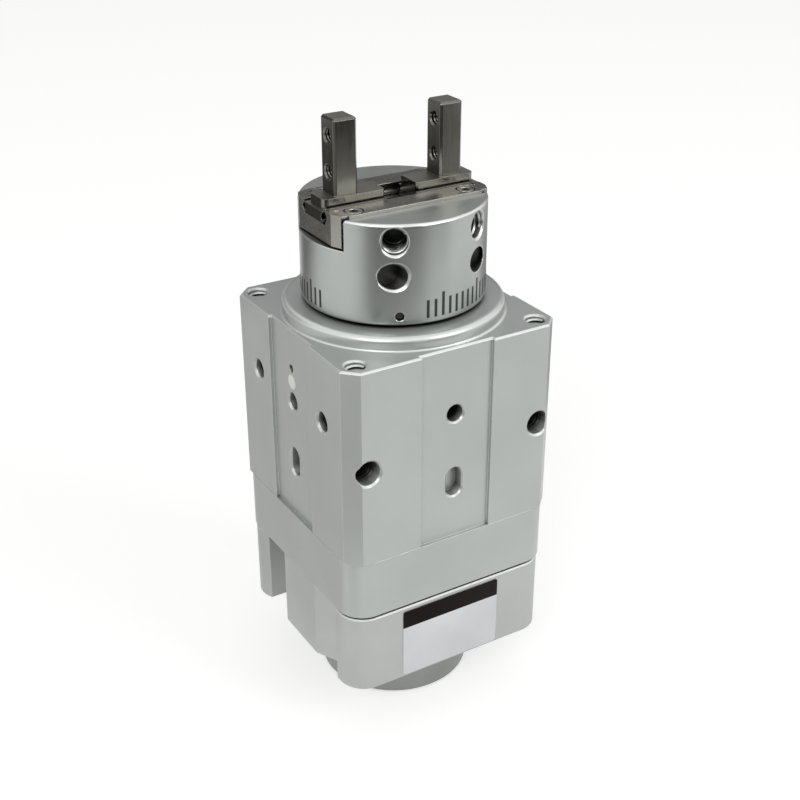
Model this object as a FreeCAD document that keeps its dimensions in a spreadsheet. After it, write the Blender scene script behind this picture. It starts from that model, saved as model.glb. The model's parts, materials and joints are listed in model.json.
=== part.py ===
import FreeCAD, Part
import math
import os
import Sketcher
from FreeCAD import Placement, Rotation, Vector

# Driving dimensions in millimetres and degrees
DIMENSIONS = {
    # Outer heights, from the underside up
    "base_height": 10.5,
    "housing_height": 15.0,
    "body_height": 45.5,
    "skirt_height": 10.8,
    "collar_height": 2.4,
    "head_gap": 0.5,
    "head_height": 16.6,
    "channel_depth": 5.0,
    "guide_rise": 0.5,
    "slider_rise": 1.9,
    "finger_reach": 12.1,
    # Outer widths
    "body_width": 40.0,
    "skirt_width": 40.1,
    "housing_width": 39.8,
    "skirt_corner": 4.7,
    "corner_cut": 2.4,
    "collar_radius": 18.6,
    "collar_round": 1.1,
    "collar_foot": 0.4,
    "head_radius": 15.3,
    "head_round": 0.5,
    "base_radius": 13.5,
    "base_break": 0.4,
    "edge_break": 0.3,
    "seam_break": 0.25,
    "seam_gap": 0.4,
    "seam_depth": 0.8,
    "overcut": 1.0,
    # Face details of the body
    "band_width": 13.5,
    "band_depth": 0.6,
    "pin_radius": 1.5,
    "pin_depth": 5.0,
    "slot_depth": 2.6,
    "front_pin_drop": 11.8,
    "side_pin_drop": 13.0,
    "slot_drop": 24.5,
    "slot_length": 5.2,
    "port_radius": 2.1,
    "port_depth": 7.0,
    "port_offset": 16.35,
    "port_drop": 17.8,
    "port_floor_radius": 0.9,
    "side_thread_radius": 1.65,
    "side_thread_depth": 7.0,
    "side_thread_offset": 11.35,
    "side_thread_drop": 11.5,
    "vent_radius": 0.7,
    "vent_drop": 6.9,
    "vent_depth": 3.0,
    "plug_radius": 1.3,
    "plug_drop": 9.4,
    "plug_length": 2.4,
    "corner_hole_offset": 16.9,
    "corner_hole_radius": 1.65,
    "corner_hole_depth": 6.0,
    # Screws that hold body, housing and cap together
    "screw_offset": 16.0,
    "screw_radius": 1.45,
    "screw_hole_radius": 1.5,
    "screw_head_radius": 2.5,
    "screw_head_height": 2.6,
    "screw_head_bore": 2.6,
    "screw_bore_depth": 3.2,
    "screw_hole_depth": 12.0,
    "screw_length": 22.0,
    "screw_socket": 1.35,
    "cap_screw_offset": 11.05,
    "cap_screw_radius": 1.0,
    "cap_head_radius": 1.8,
    "cap_head_bore": 1.85,
    "cap_head_height": 1.8,
    "cap_bore_depth": 6.5,
    "cap_screw_length": 8.0,
    "cap_screw_socket": 0.85,
    "dowel_radius": 1.0,
    "dowel_offset": 17.0,
    "dowel_half": 3.5,
    # Turning sleeve and upper bearing
    "sleeve_radius": 8.5,
    "running_gap": 0.05,
    "sleeve_drop": 38.0,
    "sleeve_floor_drop": 41.0,
    "upper_outer_radius": 13.0,
    "bearing_width": 5.0,
    "bearing_rise": 0.4,
    "ring_wall": 1.15,
    "upper_ball_radius": 1.4,
    "upper_ball_count": 12,
    "shoulder_radius": 9.6,
    "clip_thickness": 1.0,
    "clip_bite": 0.6,
    "clip_wall": 1.4,
    "clip_opening": 6.0,
    "ring_section": 0.57,
    "ring_groove_depth": 1.15,
    "ring_groove_width": 1.4,
    "ring_first_drop": 10.5,
    "ring_pitch": 7.0,
    "air_groove_depth": 0.5,
    "air_groove_width": 2.0,
    # Vane drive and lower bearing
    "shaft_radius": 5.0,
    "shaft_end": 7.6,
    "shaft_length": 39.0,
    "lower_outer_radius": 9.5,
    "lower_ball_radius": 1.2,
    "lower_ball_count": 9,
    "cage_wall": 0.6,
    "cage_margin": 0.35,
    "chamber_radius": 13.5,
    "chamber_depth": 9.0,
    "vane_core_reach": 12.2,
    "vane_core_width": 2.0,
    "vane_core_height": 7.4,
    "vane_width": 4.0,
    "stopper_gap": 2.3,
    "strip_width": 2.0,
    "strip_depth": 1.5,
    "drive_pin_radius": 1.4,
    "drive_pin_half": 8.2,
    "drive_pin_drop": 31.0,
    "gasket_radius": 14.9,
    "gasket_groove_width": 1.3,
    "gasket_groove_depth": 1.16,
    "cap_pocket_radius": 8.0,
    "cap_floor": 3.5,
    # Sensor groove and label
    "sensor_low": 5.3,
    "sensor_high": 13.0,
    "sensor_depth": 4.6,
    "leg_slope_start": 15.0,
    "leg_slope_depth": 0.8,
    "panel_low": -6.0,
    "panel_depth": 0.2,
    "recess_depth": 2.4,
    "recess_middle": -10.4,
    "recess_back": -12.4,
    "recess_end": -14.2,
    "label_left": -10.1,
    "label_right": 9.2,
    "label_low": 0.5,
    "label_high": 13.8,
    "label_thickness": 0.1,
    # Head details
    "side_hole_angle": 30.0,
    "upper_hole_radius": 2.1,
    "upper_hole_depth": 5.2,
    "upper_hole_drop": 2.8,
    "lower_hole_radius": 2.05,
    "lower_hole_offset": 7.65,
    "lower_hole_floor": 9.25,
    "lower_hole_drop": 8.5,
    "hole_break": 0.35,
    "head_plug_length": 1.95,
    "index_radius": 0.75,
    "index_depth": 1.2,
    "index_angle": 27.0,
    "index_rise": 1.6,
    # Gripping cylinder inside the sleeve
    "cylinder_radius": 5.0,
    "cylinder_rise": 0.5,
    "rod_radius": 2.5,
    "rod_gap": 0.04,
    "rod_seal_radius": 3.7,
    "rod_seal_height": 1.5,
    "rod_seal_rise": 1.6,
    "piston_gap": 0.06,
    "piston_height": 5.0,
    "piston_rest_gap": 0.6,
    "piston_seal_depth": 1.2,
    "piston_seal_height": 1.6,
    "piston_seal_rise": 1.9,
    "stub_radius": 2.0,
    "magnet_radius": 4.6,
    "magnet_height": 2.4,
    "nut_radius": 3.4,
    "nut_height": 1.2,
    "end_cap_height": 4.0,
    "end_cap_drop": 15.6,
    "end_cap_ring_section": 0.55,
    # Levers
    "pocket_length": 20.0,
    "pocket_width": 9.1,
    "pocket_depth": 10.0,
    "holder_gap": 0.05,
    "holder_wall": 1.4,
    "pivot_offset": 6.0,
    "pivot_drop": 2.9,
    "pivot_radius": 1.2,
    "pivot_gap": 0.04,
    "hub_radius": 2.1,
    "hub_width": 5.8,
    "lever_arm": 7.2,
    "arm_width": 1.9,
    "arm_depth": 3.2,
    "tip_radius": 1.2,
    "inner_arm_half": 1.9,
    "inner_arm_low": 0.95,
    "inner_arm_high": 2.35,
    "centre_pin_radius": 1.0,
    "centre_pin_half": 2.5,
    "pin_slot_gap": 0.06,
    "pin_slot_play": 0.3,
    "blade_length": 3.8,
    "blade_width": 1.6,
    "blade_top": 1.7,
    "rod_top_drop": 2.9,
    # Guide and fingers
    "guide_width": 15.0,
    "guide_setback": 0.1,
    "guide_end": 14.25,
    "guide_relief": 0.4,
    "guide_relief_start": 12.2,
    "guide_foot_break": 0.4,
    "guide_floor": 3.2,
    "guide_channel": 6.9,
    "window_length": 18.4,
    "window_width": 6.0,
    "ball_radius": 0.7,
    "ball_row_offset": 3.25,
    "ball_row_drop": 1.1,
    "ball_play": 0.03,
    "ball_pitch": 2.0,
    "ball_first": 1.4,
    "slider_start": 2.9,
    "slider_length": 11.55,
    "slider_width": 6.1,
    "slider_lift": 0.2,
    "slider_step": 0.2,
    "slider_round": 1.0,
    "neck_setback": 0.55,
    "finger_gap": 15.2,
    "finger_travel": 2.0,
    "finger_thickness": 4.1,
    "finger_width": 4.3,
    "neck_width": 5.1,
    "finger_break": 0.35,
    "finger_hole_radius": 1.025,
    "finger_hole_break": 0.25,
    "finger_hole_drop": 2.9,
    "finger_hole_pitch": 5.7,
    "tip_play": 0.06,
    "tip_pocket_height": 2.3,
    "guide_screw_x": 10.3,
    "guide_screw_y": 5.45,
    "guide_head_radius": 1.4,
    "guide_head_gap": 0.2,
    "guide_head_height": 1.1,
    "guide_screw_radius": 0.95,
    "guide_screw_length": 8.5,
    "guide_socket": 0.75,
    "stop_radius": 0.5,
    "stop_x": 12.6,
    "stop_y": 4.05,
}

UP = Vector(0, 0, 1)
ALONG_X = Vector(1, 0, 0)
ALONG_Y = Vector(0, 1, 0)
LEFT = -1
RIGHT = 1
CLOSE = 1e-3
SLEEVE_RINGS = 3
AIR_GROOVES = 2
FINGER_HOLES = 2
BALLS_IN_ROW = 4

# Levels that several pieces share, as expressions over the sheet
HOUSING_BOTTOM = "dims.base_height"
BODY_BOTTOM = "(dims.base_height + dims.housing_height)"
BODY_TOP = f"({BODY_BOTTOM} + dims.body_height)"
COLLAR_TOP = f"({BODY_TOP} + dims.collar_height)"
HEAD_BOTTOM = f"({COLLAR_TOP} + dims.head_gap)"
HEAD_TOP = f"({HEAD_BOTTOM} + dims.head_height)"
CHANNEL_FLOOR = f"({HEAD_TOP} - dims.channel_depth)"
GUIDE_TOP = f"({HEAD_TOP} + dims.guide_rise)"
SLIDER_BOTTOM = f"({CHANNEL_FLOOR} + dims.guide_floor + dims.slider_lift)"
SLIDER_TOP = f"({HEAD_TOP} + dims.slider_rise)"
FINGER_TOP = f"({SLIDER_TOP} + dims.finger_reach)"
BALL_ROW = f"({GUIDE_TOP} - dims.ball_row_drop)"
CHAMBER_FLOOR = f"({BODY_BOTTOM} - dims.chamber_depth)"
CHAMBER_MIDDLE = f"({BODY_BOTTOM} - dims.chamber_depth / 2)"
LOWER_BEARING_TOP = f"({HOUSING_BOTTOM} + dims.bearing_width)"
UPPER_BEARING_TOP = f"({BODY_TOP} + dims.bearing_rise)"
UPPER_BEARING_BOTTOM = f"({UPPER_BEARING_TOP} - dims.bearing_width)"
SLEEVE_BOTTOM = f"({BODY_TOP} - dims.sleeve_drop)"
CYLINDER_TOP = f"({BODY_TOP} + dims.cylinder_rise)"
END_CAP_BOTTOM = f"({BODY_TOP} - dims.end_cap_drop)"
POCKET_FLOOR = f"({CHANNEL_FLOOR} - dims.pocket_depth)"
PIVOT_LEVEL = f"({CHANNEL_FLOOR} - dims.pivot_drop)"
LEVER_ANGLE = "asin(dims.finger_travel / 2 / dims.lever_arm)"
CENTRE_PIN_LEVEL = f"({PIVOT_LEVEL} + dims.pivot_offset * tan({LEVER_ANGLE}))"
PISTON_TOP = f"({CYLINDER_TOP} - dims.piston_rest_gap)"
PISTON_BOTTOM = f"({PISTON_TOP} - dims.piston_height)"
ROD_TOP = f"({CENTRE_PIN_LEVEL} - dims.rod_top_drop)"
SHAFT_BORE = "(dims.shaft_radius + dims.running_gap)"

doc = FreeCAD.newDocument("rotary_gripper")
sheet = doc.addObject("Spreadsheet::Sheet", "dims")
for row, (alias, number) in enumerate(DIMENSIONS.items(), 1):
    sheet.set(f"A{row}", alias)
    sheet.set(f"B{row}", str(number))
    sheet.setAlias(f"B{row}", alias)
doc.recompute()

nodes = []


# Helpers
def value(expression):
    """Number that an expression over the sheet gives."""
    result = sheet.evalExpression(expression)
    return float(getattr(result, "Value", result))


def bind(thing, **settings):
    """Bind properties of an object to expressions, with __ standing for a dot in the path."""
    for path, expression in settings.items():
        thing.setExpression(path.replace("__", "."), str(expression))
    return thing


def node(name, thing):
    """Mark an object as a finished piece of the assembly."""
    thing.Label = name
    nodes.append(thing)
    return thing


def place(thing, x="0", y="0", z="0", axis=UP):
    """Stand a primitive at a point with its own Z axis along the given axis."""
    thing.Placement = Placement(Vector(), Rotation(UP, axis))
    return bind(thing, Placement__Base__x=x, Placement__Base__y=y, Placement__Base__z=z)


def cylinder(name, radius, height, x="0", y="0", z="0", axis=UP):
    """Cylinder that starts at a point and runs along an axis."""
    thing = bind(doc.addObject("Part::Cylinder", name), Radius=radius, Height=height)
    return place(thing, x, y, z, axis)


def pin_across(name, radius, half, x="0", z="0"):
    """Pin along Y, centred on the middle plane."""
    return cylinder(name, radius, f"2 * {half}", x, f"-({half})", z, ALONG_Y)


def box(name, length, width, height, x="0", y="0", z="0"):
    """Box centred on x and y, standing on z."""
    thing = bind(doc.addObject("Part::Box", name), Length=length, Width=width, Height=height)
    return place(thing, f"{x} - ({length}) / 2", f"{y} - ({width}) / 2", z)


def sphere(name, radius, x, y, z):
    """Ball centred on a point."""
    thing = bind(doc.addObject("Part::Sphere", name), Radius=radius)
    return place(thing, x, y, z)


def torus(name, ring_radius, section_radius, z):
    """Ring of round section about the Z axis."""
    thing = bind(doc.addObject("Part::Torus", name), Radius1=ring_radius, Radius2=section_radius)
    return place(thing, z=z)


def fuse(name, *shapes):
    """Union of several shapes."""
    thing = doc.addObject("Part::MultiFuse", name)
    thing.Shapes = list(shapes)
    return thing


def cut(name, base, *tools):
    """Shape less one or more tools."""
    thing = doc.addObject("Part::Cut", name)
    thing.Base = base
    thing.Tool = tools[0] if len(tools) == 1 else fuse(f"{name}_tools", *tools)
    return thing


def common(name, base, tool):
    """What two shapes share."""
    thing = doc.addObject("Part::Common", name)
    thing.Base = base
    thing.Tool = tool
    return thing


def group(name, shapes):
    """Identical pieces kept as separate solids of one node."""
    thing = doc.addObject("Part::Compound", name)
    thing.Links = shapes
    return thing


def tube(name, outer, inner, height, z):
    """Plain ring of rectangular section about the Z axis."""
    hole = cylinder(f"{name}_hole", inner, height, z=z)
    return cut(name, cylinder(f"{name}_solid", outer, height, z=z), hole)


def new_body(name):
    """Empty body for sketched features."""
    return doc.addObject("PartDesign::Body", f"{name}_body")


def sketch(body, name, plane, offset="0"):
    """Sketch on one of the body's origin planes, moved along that plane's normal."""
    origin = next(item for item in body.Origin.OriginFeatures if item.Role == f"{plane}_Plane")
    drawing = body.newObject("Sketcher::SketchObject", name)
    drawing.AttachmentSupport = [(origin, "")]
    drawing.MapMode = "FlatFace"
    return bind(drawing, AttachmentOffset__Base__z=offset)


def pin_point(drawing, geometry, position, x, y):
    """Fix a sketch point by two expressions measured from the sketch origin."""
    for kind, axis, expression in (("DistanceX", -2, x), ("DistanceY", -1, y)):
        number = value(expression)
        if abs(number) < 1e-9:
            drawing.addConstraint(Sketcher.Constraint("PointOnObject", geometry, position, axis))
            continue
        rule = Sketcher.Constraint(kind, -1, 1, geometry, position, number)
        index = drawing.addConstraint(rule)
        drawing.setExpression(f"Constraints[{index}]", expression)


def polygon(drawing, corners):
    """Closed loop of straight lines through corners given as pairs of expressions."""
    points = [Vector(value(x), value(y), 0) for x, y in corners]
    first = drawing.GeometryCount
    count = len(points)
    for index, start in enumerate(points):
        drawing.addGeometry(Part.LineSegment(start, points[(index + 1) % count]))
    for index in range(count):
        following = first + (index + 1) % count
        drawing.addConstraint(Sketcher.Constraint("Coincident", first + index, 2, following, 1))
    for index, (x, y) in enumerate(corners):
        pin_point(drawing, first + index, 1, x, y)
    return drawing


def rectangle(drawing, left, right, low, high):
    """Closed rectangle between two pairs of sides."""
    return polygon(drawing, [(left, low), (right, low), (right, high), (left, high)])


def circle(drawing, radius, x="0", y="0"):
    """Circle of bound radius about a bound centre."""
    middle = Vector(value(x), value(y), 0)
    index = drawing.addGeometry(Part.Circle(middle, UP, value(radius)))
    rule = drawing.addConstraint(Sketcher.Constraint("Radius", index, value(radius)))
    drawing.setExpression(f"Constraints[{rule}]", radius)
    pin_point(drawing, index, 3, x, y)
    return drawing


def pad(body, profile, length, middle=False, backwards=False):
    """Add the profile's sweep along its normal."""
    feature = body.newObject("PartDesign::Pad", f"{profile.Name}_pad")
    feature.Profile = profile
    feature.Midplane = middle
    feature.Reversed = backwards
    return bind(feature, Length=length)


def pocket(body, profile, length, middle=False, backwards=False):
    """Remove the profile's sweep against its normal."""
    feature = body.newObject("PartDesign::Pocket", f"{profile.Name}_pocket")
    feature.Profile = profile
    feature.Midplane = middle
    feature.Reversed = backwards
    return bind(feature, Length=length)


def spin(body, profile, kind):
    """Revolve the profile about its vertical axis, as Revolution or Groove."""
    feature = body.newObject(f"PartDesign::{kind}", f"{profile.Name}_{kind.lower()}")
    feature.Profile = profile
    feature.ReferenceAxis = (profile, ["V_Axis"])
    feature.Angle = 360
    return feature


def repeat(body, features, count):
    """Polar pattern of features about the vertical axis."""
    axis = next(item for item in body.Origin.OriginFeatures if item.Role == "Z_Axis")
    pattern = body.newObject("PartDesign::PolarPattern", f"{features[0].Name}_pattern")
    pattern.Originals = features
    pattern.Axis = (axis, [""])
    pattern.Angle = 360
    pattern.Occurrences = count
    body.Tip = pattern
    return pattern


def dress(body, kind, size, wanted):
    """Fillet or chamfer the edges of the body's last feature that a test accepts."""
    doc.recompute()
    base = body.Tip
    names = [f"Edge{index}" for index, edge in enumerate(base.Shape.Edges, 1) if wanted(edge)]
    feature = body.newObject(f"PartDesign::{kind}", f"{body.Name}_{kind.lower()}")
    feature.Base = (base, names)
    bind(feature, **{"Radius" if kind == "Fillet" else "Size": size})
    doc.recompute()
    return feature


def level(edge, height):
    """True where an edge lies flat at a height."""
    return abs(edge.BoundBox.ZMin - height) < CLOSE and abs(edge.BoundBox.ZMax - height) < CLOSE


def upright(edge):
    """True for a straight vertical edge."""
    return edge.BoundBox.XLength < CLOSE and edge.BoundBox.YLength < CLOSE


def arc_radius(edge):
    """Radius of a circular edge, or zero for any other."""
    return getattr(edge.Curve, "Radius", 0.0)


def socket_screw(name, sizes, x, y, z, turn=1):
    """Screw with a hexagon socket, its head seat at z; turn is 1 for head up and -1 for head down."""
    radius, length, head_radius, head_height, socket = sizes
    axis = Vector(0, 0, turn)
    seat = f"{z} - ({turn}) * ({length})"
    rod = cylinder(f"{name}_rod", radius, length, x, y, seat, axis)
    head = cylinder(f"{name}_head", head_radius, head_height, x, y, z, axis)
    key = bind(doc.addObject("Part::Prism", f"{name}_key"), Circumradius=socket, Height=head_height)
    key.Polygon = 6
    place(key, x, y, f"{z} + ({turn}) * ({head_height}) / 2", axis)
    return cut(name, fuse(f"{name}_blank", rod, head), key)


def corners_of(x, y):
    """The four sign pairs of a point mirrored in both planes."""
    return [(f"({i}) * {x}", f"({j}) * {y}") for i in (LEFT, RIGHT) for j in (LEFT, RIGHT)]


def cut_square(half, corner):
    """Corner points of a square outline with its corners cut off."""
    flat = f"({half} - {corner})"
    ring = [(half, flat), (flat, half), (f"-{flat}", half), (f"-{half}", flat)]
    ring += [(f"-{half}", f"-{flat}"), (f"-{flat}", f"-{half}"), (flat, f"-{half}"), (half, f"-{flat}")]
    return ring


# Main body
def make_main_body():
    """Square block with skirt, collar, stepped bore, face bands, ports and mounting holes."""
    body = new_body("main_body")
    half_skirt = "dims.skirt_width / 2"
    half = "dims.body_width / 2"
    skirt = sketch(body, "skirt", "XY", BODY_BOTTOM)
    rectangle(skirt, f"-{half_skirt}", half_skirt, f"-{half_skirt}", half_skirt)
    pad(body, skirt, "dims.skirt_height")
    dress(body, "Fillet", "dims.skirt_corner", upright)
    seam = value(BODY_BOTTOM)
    dress(body, "Chamfer", "dims.seam_break", lambda edge: level(edge, seam))
    block = sketch(body, "block", "XY", f"{BODY_BOTTOM} + dims.skirt_height")
    tall = "dims.body_height - dims.skirt_height"
    pad(body, polygon(block, cut_square(half, "dims.corner_cut")), tall)
    pad(body, circle(sketch(body, "collar", "XY", BODY_TOP), "dims.collar_radius"), "dims.collar_height")
    dress(body, "Fillet", "dims.collar_round", lambda edge: level(edge, value(COLLAR_TOP)))
    top = value(BODY_TOP)
    collar = value("dims.collar_radius")
    foot = "dims.collar_foot"
    dress(body, "Fillet", foot, lambda edge: level(edge, top) and abs(arc_radius(edge) - collar) < CLOSE)

    bore = "(dims.sleeve_radius + dims.running_gap)"
    bore_floor = f"({BODY_TOP} - dims.sleeve_floor_drop)"
    clip_radius = "(dims.upper_outer_radius + dims.clip_bite)"
    clip_top = f"({UPPER_BEARING_TOP} + dims.clip_thickness)"
    steps = [("0", BODY_BOTTOM), (SHAFT_BORE, BODY_BOTTOM), (SHAFT_BORE, bore_floor), (bore, bore_floor)]
    steps += [(bore, UPPER_BEARING_BOTTOM), ("dims.upper_outer_radius", UPPER_BEARING_BOTTOM)]
    steps += [("dims.upper_outer_radius", UPPER_BEARING_TOP), (clip_radius, UPPER_BEARING_TOP)]
    steps += [(clip_radius, clip_top), ("dims.upper_outer_radius", clip_top)]
    steps += [("dims.upper_outer_radius", COLLAR_TOP), ("0", COLLAR_TOP)]
    spin(body, polygon(sketch(body, "bore", "XZ"), steps), "Groove")

    half_band = "dims.band_width / 2"
    floor = f"(dims.band_depth - {half})"
    band = sketch(body, "band", "XY", BODY_TOP)
    rectangle(band, f"-{half_band}", half_band, f"-{half} - dims.overcut", floor)
    repeat(body, [pocket(body, band, tall)], 4)

    front = sketch(body, "front_pin", "XZ", half)
    circle(front, "dims.pin_radius", "0", f"{BODY_TOP} - dims.front_pin_drop")
    front_pin = pocket(body, front, "dims.pin_depth")
    front_slot = pocket(body, slot(sketch(body, "front_slot", "XZ", half)), "dims.slot_depth")
    ports = sketch(body, "ports", "XZ", half)
    bottoms = sketch(body, "port_floors", "XZ", half)
    for side in (LEFT, RIGHT):
        spot = (f"({side}) * dims.port_offset", f"{BODY_TOP} - dims.port_drop")
        circle(ports, "dims.port_radius", *spot)
        circle(bottoms, "dims.port_floor_radius", *spot)
    port = pocket(body, ports, "dims.port_depth")
    port_floor = pocket(body, bottoms, "dims.port_depth + dims.plug_length")
    repeat(body, [front_pin, front_slot, port, port_floor], 2)

    side_pin = sketch(body, "side_pin", "YZ", f"-{half}")
    circle(side_pin, "dims.pin_radius", "0", f"{BODY_TOP} - dims.side_pin_drop")
    pin_hole = pocket(body, side_pin, "dims.pin_depth", backwards=True)
    side_slot = slot(sketch(body, "side_slot", "YZ", f"-{half}"))
    slot_hole = pocket(body, side_slot, "dims.slot_depth", backwards=True)
    threads = sketch(body, "side_threads", "YZ", f"-{half}")
    for side in (LEFT, RIGHT):
        spot = (f"({side}) * dims.side_thread_offset", f"{BODY_TOP} - dims.side_thread_drop")
        circle(threads, "dims.side_thread_radius", *spot)
    thread_hole = pocket(body, threads, "dims.side_thread_depth", backwards=True)
    repeat(body, [pin_hole, slot_hole, thread_hole], 2)
    vent = sketch(body, "vent", "YZ", f"-{half}")
    circle(vent, "dims.vent_radius", "0", f"{BODY_TOP} - dims.vent_drop")
    pocket(body, vent, "dims.vent_depth", backwards=True)
    seat = sketch(body, "plug_seat", "YZ", f"-{half}")
    circle(seat, "dims.plug_radius", "0", f"{BODY_TOP} - dims.plug_drop")
    pocket(body, seat, "dims.band_depth + dims.plug_length", backwards=True)

    screws = sketch(body, "screw_holes", "XY", BODY_BOTTOM)
    for spot in corners_of("dims.screw_offset", "dims.screw_offset"):
        circle(screws, "dims.screw_hole_radius", *spot)
    pocket(body, screws, "dims.screw_hole_depth", backwards=True)
    corners = sketch(body, "corner_holes", "XY", BODY_TOP)
    for spot in corners_of("dims.corner_hole_offset", "dims.corner_hole_offset"):
        circle(corners, "dims.corner_hole_radius", *spot)
    pocket(body, corners, "dims.corner_hole_depth")
    dowels = sketch(body, "dowel_holes", "XY", BODY_BOTTOM)
    for side in (LEFT, RIGHT):
        circle(dowels, "dims.dowel_radius", "0", f"({side}) * dims.dowel_offset")
    pocket(body, dowels, "dims.dowel_half", backwards=True)

    dress(body, "Chamfer", "dims.edge_break", lambda edge: level(edge, top) and arc_radius(edge) < collar)
    thread = value("dims.side_thread_radius")
    pin = value("dims.pin_radius")
    face = value(half)
    sunk = value(f"-{floor}")
    dress(body, "Chamfer", "dims.hole_break", lambda edge: is_mouth(edge, thread, face))
    brim = "dims.edge_break"
    dress(body, "Chamfer", brim, lambda edge: is_mouth(edge, pin, sunk) or slot_side(edge, sunk))
    mouths = []
    for x, y in corners_of("dims.port_offset", f"({half} - 2 * dims.hole_break)"):
        out = Vector(0, math.copysign(1, value(y)), 0)
        name = f"port_break_{len(mouths)}"
        mouths.append(countersink(name, "dims.port_radius", x, y, f"{BODY_TOP} - dims.port_drop", out))
    node("main_body", cut("main_body", body, *mouths))


def slot(drawing):
    """Upright slot of the locating pin's width, centred below the top face."""
    middle = f"({BODY_TOP} - dims.slot_drop)"
    reach = "(dims.slot_length / 2 - dims.pin_radius)"
    radius = value("dims.pin_radius")
    high = value(f"{middle} + {reach}")
    low = value(f"{middle} - {reach}")
    drawing.addGeometry(Part.ArcOfCircle(Part.Circle(Vector(0, high, 0), UP, radius), 0, math.pi))
    drawing.addGeometry(Part.ArcOfCircle(Part.Circle(Vector(0, low, 0), UP, radius), math.pi, 2 * math.pi))
    drawing.addGeometry(Part.LineSegment(Vector(-radius, high, 0), Vector(-radius, low, 0)))
    drawing.addGeometry(Part.LineSegment(Vector(radius, low, 0), Vector(radius, high, 0)))
    for first, start, second, end in ((0, 2, 2, 1), (2, 2, 1, 1), (1, 2, 3, 1), (3, 2, 0, 1)):
        drawing.addConstraint(Sketcher.Constraint("Tangent", first, start, second, end))
    pin_point(drawing, 0, 3, "0", f"{middle} + {reach}")
    pin_point(drawing, 1, 3, "0", f"{middle} - {reach}")
    rule = drawing.addConstraint(Sketcher.Constraint("Radius", 0, radius))
    drawing.setExpression(f"Constraints[{rule}]", "dims.pin_radius")
    return drawing


def is_mouth(edge, radius, face):
    """True for the rim of a hole of this radius in any side face at this distance from the axis."""
    middle = edge.BoundBox.Center
    at_face = min(abs(abs(middle.x) - face), abs(abs(middle.y) - face)) < CLOSE
    return abs(arc_radius(edge) - radius) < CLOSE and at_face


def slot_side(edge, face):
    """True for the straight sides of a slot's rim in any side face at this distance from the axis."""
    near, far = sorted((abs(edge.BoundBox.XMin), abs(edge.BoundBox.YMin)))
    return upright(edge) and abs(near - value("dims.pin_radius")) < CLOSE and abs(far - face) < CLOSE


def countersink(name, radius, x, y, z, axis):
    """Cone that breaks the mouth of a hole, from a point two breaks below the mouth."""
    thing = doc.addObject("Part::Cone", name)
    low = f"{radius} - dims.hole_break"
    bind(thing, Radius1=low, Radius2=f"{radius} + 2 * dims.hole_break", Height="3 * dims.hole_break")
    return place(thing, x, y, z, axis)


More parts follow.
